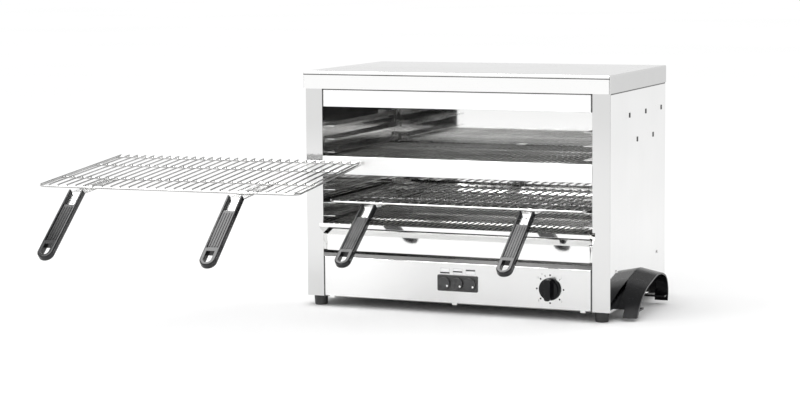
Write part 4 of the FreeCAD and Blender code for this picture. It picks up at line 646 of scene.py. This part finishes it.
@dataclass
class EasedNode:
    """A CAD node with its edges eased, as folded sheet and moulded plastic have them.

    Attributes:
        node: the CAD node.
        fold: radius of its outer folds in metres.
        rim: radius of its cut rims and inner corners in metres.
        steps: facets across an outer fold.
        rim_steps: facets across a rim.
        angle: edges sharper than this many degrees are eased.
        flat: faces that meet at less than this many degrees become one first.
        sheet: faces narrower than this are a rim's cut face, in metres; zero where there are none.
        least: edges shorter than this stay as they are, in metres.
    """

    node: str
    fold: float
    rim: float
    steps: int = 3
    rim_steps: int = 2
    angle: float = 32.0
    flat: float = 0.6
    sheet: float = 0.0026
    least: float = 0.0

    def build(self, shop: Workshop) -> None:
        """Make the eased copy and let it stand for the node.

        Args:
            shop: makes the piece.
        """
        mesh = bmesh.new()
        mesh.from_mesh(frame["nodes"][self.node].data)
        bmesh.ops.remove_doubles(mesh, verts=mesh.verts[:], dist=WELD)
        bmesh.ops.dissolve_limit(mesh, angle_limit=math.radians(self.flat), verts=mesh.verts[:],
                                 edges=mesh.edges[:])
        sharp = [edge for edge in mesh.edges if edge.is_manifold and edge.calc_length() > self.least
                 and edge.calc_face_angle(0.0) > math.radians(self.angle)]
        folds = [edge for edge in sharp if edge.calc_face_angle_signed(0.0) > 0.0 and self._wide(edge)]
        folded = set(folds)
        rims = [edge for edge in sharp if edge not in folded]
        self._ease(mesh, folds, self.fold, self.steps)
        self._ease(mesh, [edge for edge in rims if edge.is_valid], self.rim, self.rim_steps)
        piece = shop.piece(self.node + "_eased", mesh, shop.finish_of[self.node], self.node)
        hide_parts(self.node)

    def _wide(self, edge: bmesh.types.BMEdge) -> bool:
        """Whether neither face at an edge is the narrow cut face of a sheet."""
        length = max(edge.calc_length(), WELD)
        return all(face.calc_area() / length >= self.sheet for face in edge.link_faces)

    def _ease(self, mesh: bmesh.types.BMesh, edges: list[bmesh.types.BMEdge], radius: float,
              steps: int) -> None:
        """Bevel some edges.

        Args:
            mesh: their mesh.
            edges: the edges.
            radius: width of the bevel in metres.
            steps: facets across it.
        """
        if edges:
            bmesh.ops.bevel(mesh, geom=edges, offset=radius, offset_type="OFFSET", segments=steps, profile=0.5,
                            affect="EDGES", clamp_overlap=True, material=-1, loop_slide=True)


def add_disc(mesh: bmesh.types.BMesh, centre: Vector, radius: float, thick: float) -> None:
    """Add a thin disc that faces the front.

    Args:
        mesh: the mesh to add to.
        centre: its centre in metres.
        radius: its radius.
        thick: its thickness.
    """
    bmesh.ops.create_cone(mesh, cap_ends=True, segments=28, radius1=radius, radius2=radius, depth=thick,
                          matrix=Matrix.Translation(centre) @ Matrix.Rotation(math.pi / 2, 4, "X"))


def add_plate(mesh: bmesh.types.BMesh, centre: Vector, size: Triple, turn: float = 0.0) -> None:
    """Add a thin upright plate, or a printed stroke.

    Args:
        mesh: the mesh to add to.
        centre: its centre in metres.
        size: its sizes along x, y and z before it is turned.
        turn: angle about y in radians.
    """
    bmesh.ops.create_cube(mesh, size=1.0, matrix=Matrix.Translation(centre) @ Matrix.Rotation(turn, 4, "Y")
                          @ Matrix.Diagonal((*size, 1.0)))


# Sub-assemblies

class SubAssembly(Protocol):
    """A part of the grill, or of its studio, that builds itself."""

    def build(self, shop: Workshop) -> None:
        """Build the sub-assembly."""
        ...


@dataclass
class Cabinet:
    """The folded sheet metal of the cabinet, and dark strips of painted shade over the gaps between its panels.

    Attributes:
        fold: outer radius of the panels' folds in metres.
        side_fold: outer radius of the side panels' folds.
        rim: how far cut rims are eased.
        gap: width of the gaps between panels, and of the painted shade strips laid over them.
        proud: how far a painted shade strip stands in front of what is behind it.
        side_face: distance of the side panels' faces from the middle.
        louvres: y and z of the crest of each louvre's hood.
        cover_shade_line: height of the painted shade line in the cover's front above its lower edge, and the
            line's width.
        beyond: how much longer than the upper panel that line is.
        least: edges of the cover and the side panels shorter than this stay as they are.
        strip: how far behind the cover's middle the painted shade strip under its side edge lies, and how much
            shorter than the cover it is.
        hood: how far out of the side panel a louvre's dark plate of painted shade lies, and its y from the
            crest.
        plate: sizes of that plate along x, y and z.
    """

    fold: float = 0.0013
    side_fold: float = 0.0022
    rim: float = 0.0002
    gap: float = 0.0026
    proud: float = 0.0003
    side_face: float = 0.3185
    louvres: tuple[tuple[float, float], ...] = ((-0.073, 0.3915), (0.041, 0.3915), (0.155, 0.3915),
                                                (-0.019, 0.3405), (0.095, 0.3405))
    cover_shade_line: tuple[float, float] = (0.0285, 0.002)
    beyond: float = 0.075
    least: float = 0.03
    strip: tuple[float, float] = (0.003, 0.016)
    hood: tuple[float, float] = (0.0038, -0.0042)
    plate: Triple = (0.001, 0.0056, 0.0095)

    def build(self, shop: Workshop) -> None:
        """Ease the folds of every panel that shows, and lay dark strips of painted shade over the gaps.

        Args:
            shop: makes the pieces.
        """
        for node in ("upper_front_panel", "middle_front_strip", "lower_front_panel", "control_panel",
                     "crumb_tray", "back_panel"):
            EasedNode(node, self.fold, self.rim).build(shop)
        EasedNode("top_cover", self.side_fold, self.rim, least=self.least).build(shop)
        for word in ("left", "right"):
            EasedNode("side_panel_" + word, self.side_fold, self.rim, least=self.least).build(shop)
        self._shade_strips(shop)

    def _shade_strips(self, shop: Workshop) -> None:
        """Lay dark strips of painted shade over the gaps beside and over the front panels, and a painted shade
        line under the cover's front edge.

        Args:
            shop: makes the piece.
        """
        mesh = bmesh.new()
        upper_low, upper_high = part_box("upper_front_panel")
        lip_low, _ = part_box("top_cover")
        control_low, control_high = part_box("control_panel")
        across = upper_high.x - upper_low.x
        middle = (upper_high.x + upper_low.x) / 2
        half = self.proud / 2
        add_plate(mesh, Vector((middle, upper_low.y - half, lip_low.z - self.gap / 2)),
                  (across, self.proud, self.gap))
        # Painted shade: a dark line across the cover's front under its folded edge.
        height, width = self.cover_shade_line
        add_plate(mesh, Vector((middle, lip_low.y - half, lip_low.z + height)),
                  (across + self.beyond, self.proud, width))
        for low, high, top in ((upper_low, upper_high, lip_low.z), (control_low, control_high, control_high.z)):
            tall = top - low.z
            for side in (low.x + self.gap / 2, high.x - self.gap / 2):
                add_plate(mesh, Vector((side, low.y - half, low.z + tall / 2)), (self.gap, self.proud, tall))
        shop.piece("panel_shade_strips", mesh, SHADE_STRIP, "upper_front_panel")
        self._side_shade_strips(shop)

    def _side_shade_strips(self, shop: Workshop) -> None:
        """Lay a strip of painted shade under the cover's side edges, and a dark plate of painted shade at each
        louvre's open end.

        Args:
            shop: makes the pieces.
        """
        lip_low, lip_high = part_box("top_cover")
        for sign, word in ((-1.0, "left"), (1.0, "right")):
            mesh = bmesh.new()
            face = sign * (self.side_face + self.proud / 2)
            behind, shorter = self.strip
            add_plate(mesh, Vector((face, (lip_low.y + lip_high.y) / 2 + behind, lip_low.z - self.gap / 2)),
                      (self.proud, lip_high.y - lip_low.y - shorter, self.gap))
            out, along = self.hood
            # Painted shade: a dark plate at each louvre's open end.
            for y, z in self.louvres:
                add_plate(mesh, Vector((face + sign * out, y + along, z)), self.plate)
            shop.piece("side_shade_strips_" + word, mesh, SHADE_STRIP, "side_panel_" + word)


@dataclass
class Switches:
    """Bezel, buttons with their lenses, and the symbol over each.

    Attributes:
        edge: how far the outer edges of bezel and buttons are eased.
        bezel_rim: how far the bezel's inner corners are eased.
        button_rim: how far the buttons' are.
        panel_y: the control panel's front face.
        ink: thickness of the print.
        pitch: distance between two switches.
        symbol: width of a symbol's outline.
        tall: height of a symbol's outline.
        line: thickness of a symbol's outline.
        symbol_z: height of the symbols' lower edge.
        levels: height of the dark bar in each symbol, from left to right.
        bar: thickness of that bar.
        lens: radius of a button's lens.
        lens_flat: how much of its round shape a lens keeps in depth.
        lens_place: x and z of a lens from its button's middle.
        lens_sunk: how far a lens's middle lies behind the button's face.
    """

    edge: float = 0.0006
    bezel_rim: float = 0.0003
    button_rim: float = 0.0004
    panel_y: float = -0.195
    ink: float = 0.00008
    pitch: float = 0.027
    symbol: float = 0.0195
    tall: float = 0.0105
    line: float = 0.0005
    symbol_z: float = 0.0795
    levels: tuple[float, float, float] = (0.0016, 0.0046, 0.0082)
    bar: float = 0.0026
    lens: float = 0.0021
    lens_flat: float = 0.3
    lens_place: tuple[float, float] = (0.0068, -0.0050)
    lens_sunk: float = 0.0001

    def build(self, shop: Workshop) -> None:
        """Build the switches.

        Args:
            shop: makes the pieces.
        """
        EasedNode("switch_bezel", self.edge, self.bezel_rim, sheet=0.0).build(shop)
        for word in ("bottom", "middle", "top"):
            EasedNode("button_" + word, self.edge, self.button_rim, sheet=0.0).build(shop)
            self._lens(shop, word)
        self._symbols(shop)

    def _lens(self, shop: Workshop, word: str) -> None:
        """Set a small pale lens into a button.

        Args:
            shop: makes the piece.
            word: which button.
        """
        low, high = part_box("button_" + word)
        middle = (low + high) / 2
        mesh = bmesh.new()
        bmesh.ops.create_uvsphere(mesh, u_segments=24, v_segments=14, radius=self.lens)
        bmesh.ops.scale(mesh, vec=(1.0, self.lens_flat, 1.0), verts=mesh.verts[:])
        place = (middle.x + self.lens_place[0], low.y + self.lens_sunk, middle.z + self.lens_place[1])
        bmesh.ops.translate(mesh, vec=place, verts=mesh.verts[:])
        shop.piece("button_lens_" + word, mesh, LENS, "button_" + word)

    def _symbols(self, shop: Workshop) -> None:
        """Print an outlined field over each switch, with a dark bar at its heater's height.

        Args:
            shop: makes the pieces.
        """
        field, outline, bars = bmesh.new(), bmesh.new(), bmesh.new()
        low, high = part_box("switch_bezel")
        middle = (low.x + high.x) / 2
        wide, tall, ink, y = self.symbol, self.tall, self.ink, self.panel_y - self.ink / 2
        edges = ((0.0, 0.0, wide, self.line), (0.0, tall, wide, self.line),
                 (-wide / 2, tall / 2, self.line, tall), (wide / 2, tall / 2, self.line, tall))
        for step, level in zip((-1, 0, 1), self.levels):
            x = middle + step * self.pitch
            add_plate(field, Vector((x, y + ink / 4, self.symbol_z + tall / 2)), (wide, ink / 2, tall))
            for dx, dz, width, height in edges:
                add_plate(outline, Vector((x + dx, y, self.symbol_z + dz)), (width, ink, height))
            add_plate(bars, Vector((x, y - ink, self.symbol_z + level)), (wide, ink, self.bar))
        shop.piece("switch_symbols_field", field, WHITE_INK, "switch_bezel")
        shop.piece("switch_symbols_outline", outline, GREY_INK, "switch_bezel")
        shop.piece("switch_symbols_bar", bars, DARK_INK, "switch_bezel")


@dataclass
class Timer:
    """The timer's knob and the scale around it.

    Attributes:
        edge: how far the knob's outer edges are eased.
        rim: how far its inner corners are eased.
        centre: the knob's axis at the control panel's front face.
        scale_radius: distance of the dots from the axis.
        ink: thickness of the print.
        dots: angle of each dot, clockwise from the top in degrees.
        dashes: angle of each dash.
        numbers: text and angle of each number.
        dot: radius of a dot.
        dash: width and height of a dash.
        text: height of the numbers' type.
        apart: how far the numbers stand outside the dots.
    """

    edge: float = 0.0007
    rim: float = 0.0004
    centre: Triple = (0.198, -0.195, 0.0602)
    scale_radius: float = 0.0272
    ink: float = 0.00008
    dots: tuple[float, ...] = (0.0, 90.0, 135.0, 180.0, 225.0, 270.0, 315.0)
    dashes: tuple[float, ...] = (45.0, -22.0)
    numbers: tuple[tuple[str, float], ...] = (("0", -30.0), ("2", 45.0), ("5", 135.0), ("8", 225.0),
                                              ("10", -50.0))
    dot: float = 0.0018
    dash: tuple[float, float] = (0.0014, 0.0038)
    text: float = 0.0056
    apart: float = 0.0058

    def build(self, shop: Workshop) -> None:
        """Build the timer.

        Args:
            shop: makes the pieces.
        """
        EasedNode("timer_knob", self.edge, self.rim, sheet=0.0).build(shop)
        marks = bmesh.new()
        for degrees in self.dots:
            add_disc(marks, self._spot(degrees, self.scale_radius), self.dot, self.ink)
        width, height = self.dash
        for degrees in self.dashes:
            add_plate(marks, self._spot(degrees, self.scale_radius), (width, self.ink, height),
                      math.radians(degrees))
        shop.piece("timer_scale", marks, DARK_INK, "control_panel")
        for text, degrees in self.numbers:
            self._number(shop, text, degrees)

    def _spot(self, degrees: float, reach: float) -> Vector:
        """A point on the panel around the knob.

        Args:
            degrees: its angle, clockwise from the top.
            reach: its distance from the axis.

        Returns:
            The point, half an ink's thickness out of the panel.
        """
        angle = math.radians(degrees)
        away = Vector((math.sin(angle), 0.0, math.cos(angle))) * reach
        return Vector(self.centre) + away - Vector((0.0, self.ink / 2, 0.0))

    def _number(self, shop: Workshop, text: str, degrees: float) -> None:
        """Print one number of the scale.

        Args:
            shop: makes the piece.
            text: the number.
            degrees: its angle.
        """
        curve = bpy.data.curves.new("timer_number_" + text, "FONT")
        curve.body, curve.size, curve.align_x, curve.align_y = text, self.text, "CENTER", "CENTER"
        curve.extrude = self.ink / 2
        letter = bpy.data.objects.new(curve.name, curve)
        bpy.context.scene.collection.objects.link(letter)
        bpy.context.view_layer.update()
        flat = bpy.data.meshes.new_from_object(letter)
        bpy.data.objects.remove(letter)
        mesh = bmesh.new()
        mesh.from_mesh(flat)
        bmesh.ops.remove_doubles(mesh, verts=mesh.verts[:], dist=WELD)
        bmesh.ops.transform(mesh, matrix=Matrix.Translation(self._spot(degrees, self.scale_radius + self.apart))
                            @ Matrix.Rotation(math.pi / 2, 4, "X"), verts=mesh.verts[:])
        shop.piece("timer_number_" + text, mesh, GREY_INK, "control_panel")


@dataclass
class Handles:
    """Grips and brackets of one cooking grid.

    Attributes:
        grid: the grid's node.
        edge: how far the grips' outer edges are eased.
        rim: how far their inner corners are eased.
        bracket_edge: how far the brackets' folds are eased.
        bracket_rim: how far the brackets' cut rims are eased.
    """

    grid: str
    edge: float = 0.0005
    rim: float = 0.0004
    bracket_edge: float = 0.0003
    bracket_rim: float = 0.0002

    def build(self, shop: Workshop) -> None:
        """Ease the grips and brackets.

        Args:
            shop: makes the pieces.
        """
        for word in ("left", "right"):
            EasedNode(f"{self.grid}_grip_{word}", self.edge, self.rim, sheet=0.0).build(shop)
        EasedNode(self.grid + "_brackets", self.bracket_edge, self.bracket_rim).build(shop)


@dataclass
class Stand:
    """The arch at the right side and the feet.

    Attributes:
        edge: how far the arch's outer edges are eased.
        rim: how far its inner corners are eased.
        foot_edge: how far the feet's outer edges are eased.
        foot_rim: how far their inner corners are eased.
        band: x of the two sides of the set-back band between the arch and the panel.
        outside: how far outside that band the arch's section is taken.
        lower: how far the band lies below the arch's outline.
        foot: height at which its legs end, before it is lowered.
    """

    edge: float = 0.0008
    rim: float = 0.0004
    foot_edge: float = 0.0007
    foot_rim: float = 0.0003
    band: tuple[float, float] = (0.3188, 0.3345)
    outside: float = 0.014
    lower: float = 0.0022
    foot: float = 0.0235

    def build(self, shop: Workshop) -> None:
        """Ease the arch and the feet, and fill the wedge behind the arch.

        Args:
            shop: makes the pieces.
        """
        EasedNode("side_arch", self.edge, self.rim, sheet=0.0).build(shop)
        self._web(shop)
        for corner in ("front_left", "front_right", "rear_left", "rear_right"):
            EasedNode("foot_" + corner, self.foot_edge, self.foot_rim, sheet=0.0).build(shop)

    def _web(self, shop: Workshop) -> None:
        """Fill the wedge between the arch's legs and the panel with a lower, set-back band of the same outline.

        Args:
            shop: makes the piece.
        """
        mesh = bmesh.new()
        mesh.from_mesh(frame["nodes"]["side_arch"].data)
        bmesh.ops.remove_doubles(mesh, verts=mesh.verts[:], dist=WELD)
        near, far = self.band
        section = far + self.outside
        bmesh.ops.bisect_plane(mesh, geom=mesh.verts[:] + mesh.edges[:] + mesh.faces[:],
                               plane_co=(section, 0.0, 0.0), plane_no=(1.0, 0.0, 0.0), clear_inner=True,
                               clear_outer=True)
        bmesh.ops.triangle_fill(mesh, use_beauty=True, use_dissolve=False, edges=mesh.edges[:],
                                normal=(1.0, 0.0, 0.0))
        bmesh.ops.bisect_plane(mesh, geom=mesh.verts[:] + mesh.edges[:] + mesh.faces[:],
                               plane_co=(0.0, 0.0, self.foot), plane_no=(0.0, 0.0, -1.0), clear_outer=True)
        bmesh.ops.translate(mesh, vec=(near - section, 0.0, -self.lower), verts=mesh.verts[:])
        raised = bmesh.ops.extrude_face_region(mesh, geom=mesh.faces[:])["geom"]
        bmesh.ops.translate(mesh, vec=(far - near, 0.0, 0.0),
                            verts=[part for part in raised if isinstance(part, bmesh.types.BMVert)])
        bmesh.ops.recalc_face_normals(mesh, faces=mesh.faces[:])
        shop.piece("side_arch_web", mesh, ARCH, "side_arch")


@dataclass(frozen=True)
class Card:
    """A card in the studio that only shows in polished surfaces.

    Attributes:
        WEAVE: waves of its cloth per metre.
        SPREAD: how far its brightness varies, as a share.
        name: its name.
        place: its centre in metres.
        turn: angle about the vertical in degrees.
        tilt: angle from lying flat in degrees.
        size: width and height in metres.
        glow: its brightness.
    """

    WEAVE: ClassVar[float] = 3.0
    SPREAD: ClassVar[float] = 0.1

    name: str
    place: Triple
    turn: float
    tilt: float
    size: tuple[float, float]
    glow: float

    def build(self, shop: Workshop) -> None:
        """Stand the card up.

        Args:
            shop: makes the object.
        """
        coat = Coat(self.name.title().replace("_", ""))
        weave = coat.noise(self.WEAVE, octaves=2.0).fade(0.3, 0.7)
        low, high = self.glow * (1.0 - self.SPREAD), self.glow * (1.0 + self.SPREAD)
        coat.dress({"Base Color": (0.0, 0.0, 0.0), "Specular IOR Level": 0.0, "Emission Strength": 1.0,
                    "Emission Color": coat.mix(weave, (low, low, low), (high, high, high))})
        mesh = bmesh.new()
        bmesh.ops.create_grid(mesh, x_segments=2, y_segments=2, size=0.5)
        bmesh.ops.transform(mesh, matrix=Matrix.Translation(self.place)
                            @ Matrix.Rotation(math.radians(self.turn), 4, "Z")
                            @ Matrix.Rotation(math.radians(self.tilt), 4, "X")
                            @ Matrix.Diagonal((*self.size, 1.0, 1.0)), verts=mesh.verts[:])
        card = shop.stage_piece(self.name, mesh, coat.material)
        card.visible_camera = card.visible_diffuse = card.visible_shadow = card.visible_transmission = False


@dataclass(frozen=True)
class Lamp:
    """A square soft lamp in the studio, which doesn't show in polished surfaces.

    Attributes:
        name: its name.
        place: its centre in metres.
        target: the point that it faces.
        size: its side in metres.
        power: its power in watts.
    """

    name: str
    place: Triple
    target: Triple
    size: float
    power: float

    def build(self) -> None:
        """Hang the lamp."""
        data = bpy.data.lights.new(self.name, "AREA")
        data.energy, data.size = self.power, self.size
        lamp = bpy.data.objects.new(self.name, data)
        aim = (Vector(self.target) - Vector(self.place)).to_track_quat("-Z", "Y").to_matrix().to_4x4()
        lamp.matrix_world = Matrix.Translation(self.place) @ aim
        bpy.context.scene.collection.objects.link(lamp)
        lamp.visible_glossy = False


@dataclass
class Studio:
    """Floor, sky, cards, lamps and camera.

    Attributes:
        sky: brightness of the white dome.
        floor: the floor's size in metres.
        sunk: how far the floor lies under the feet.
        pale: the floor's two near-white tones.
        drift: waves of those tones per metre.
        cards: what shows in the polished surfaces.
        lamps: what lights the rest.
        sensor: width of the camera's sensor in millimetres.
        lens: the camera's focal length in millimetres.
        shift: how far the camera's window is moved upwards, as a share of its width.
        view: the camera's place and direction, as the rows of its matrix.
    """

    sky: float = 1.07
    floor: float = 120.0
    sunk: float = 0.0002
    pale: tuple[Colour, Colour] = ((0.93, 0.93, 0.93), (0.95, 0.95, 0.95))
    drift: float = 0.4
    cards: tuple[Card, ...] = (
        Card("studio_flag_front", (1.1, -2.9, 0.45), 22.6, 90.0, (1.3, 1.1), 0.012),
        Card("studio_flag_left", (-1.42, 0.27, 0.26), -112.0, 90.0, (0.5, 0.5), 0.03),
        Card("studio_flag_right", (1.5, -0.65, 0.27), 67.0, 90.0, (0.5, 0.52), 0.03),
        Card("studio_flag_behind", (-1.2, 3.2, 2.5), 0.0, 75.0, (5.0, 2.0), 0.5),
        Card("studio_ceiling", (0.6, 0.9, 3.4), 0.0, 0.0, (4.6, 4.0), 0.42),
        Card("studio_softbox_high", (-1.15, 0.05, 2.6), 0.0, 0.0, (1.7, 1.3), 7.5),
        Card("studio_softbox_front", (-0.8, -1.2, 2.14), -10.0, 35.0, (1.6, 2.6), 8.0),
    )
    lamps: tuple[Lamp, ...] = (
        Lamp("key", (-2.2, -2.6, 2.4), (0.0, 0.0, 0.2), 1.2, 16.0),
        Lamp("top", (0.2, 0.2, 3.0), (0.0, 0.0, 0.4), 2.4, 9.0),
    )
    sensor: float = 36.0
    lens: float = 92.963
    shift: float = -0.0712
    view: tuple[tuple[float, ...], ...] = (
        (0.923065, -0.027956, 0.383628, 1.45308),
        (0.384578, 0.085722, -0.919104, -3.94920),
        (-0.007191, 0.995927, 0.089879, 0.70100),
        (0.0, 0.0, 0.0, 1.0),
    )

    def build(self, shop: Workshop) -> None:
        """Build the studio.

        Args:
            shop: makes the floor and the cards.
        """
        bpy.context.scene.view_settings.view_transform = "Standard"
        self._floor(shop)
        self._sky()
        for card in self.cards:
            card.build(shop)
        for lamp in self.lamps:
            lamp.build()
        self._camera()

    def _floor(self, shop: Workshop) -> None:
        """Lay a plain pale floor just under the feet.

        Args:
            shop: makes the object.
        """
        coat = Coat("StudioFloor")
        tones = coat.noise(self.drift, octaves=2.0)
        coat.dress({"Base Color": coat.mix(tones.fade(0.3, 0.7), *self.pale), "Roughness": 0.9,
                    "Specular IOR Level": 0.0})
        mesh = bmesh.new()
        bmesh.ops.create_grid(mesh, x_segments=8, y_segments=8, size=self.floor / 2)
        bmesh.ops.translate(mesh, vec=(0.0, 0.0, -self.sunk), verts=mesh.verts[:])
        shop.stage_piece("studio_floor", mesh, coat.material)

    def _sky(self) -> None:
        """Hang a white dome over everything."""
        world = bpy.data.worlds.new("Studio")
        bpy.context.scene.world = world
        world.use_nodes = True
        background = world.node_tree.nodes["Background"]
        background.inputs["Color"].default_value = (1.0, 1.0, 1.0, 1.0)
        background.inputs["Strength"].default_value = self.sky

    def _camera(self) -> None:
        """Set up the camera as the photograph was taken."""
        data = bpy.data.cameras.new("Camera")
        data.sensor_width, data.lens, data.shift_y = self.sensor, self.lens, self.shift
        camera = bpy.data.objects.new("Camera", data)
        camera.matrix_world = Matrix(self.view)
        bpy.context.scene.collection.objects.link(camera)
        bpy.context.scene.camera = camera


def main() -> None:
    """Dress the frame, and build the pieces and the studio."""
    shop = Workshop()
    shop.dress_nodes()
    parts: tuple[SubAssembly, ...] = (Studio(), Cabinet(), Switches(), Timer(), Handles("lower_grid"),
                                      Handles("loose_grid"), Stand())
    for part in parts:
        part.build(shop)
        LOG.info("%s built", type(part).__name__)


if __name__ == "__main__":
    main()
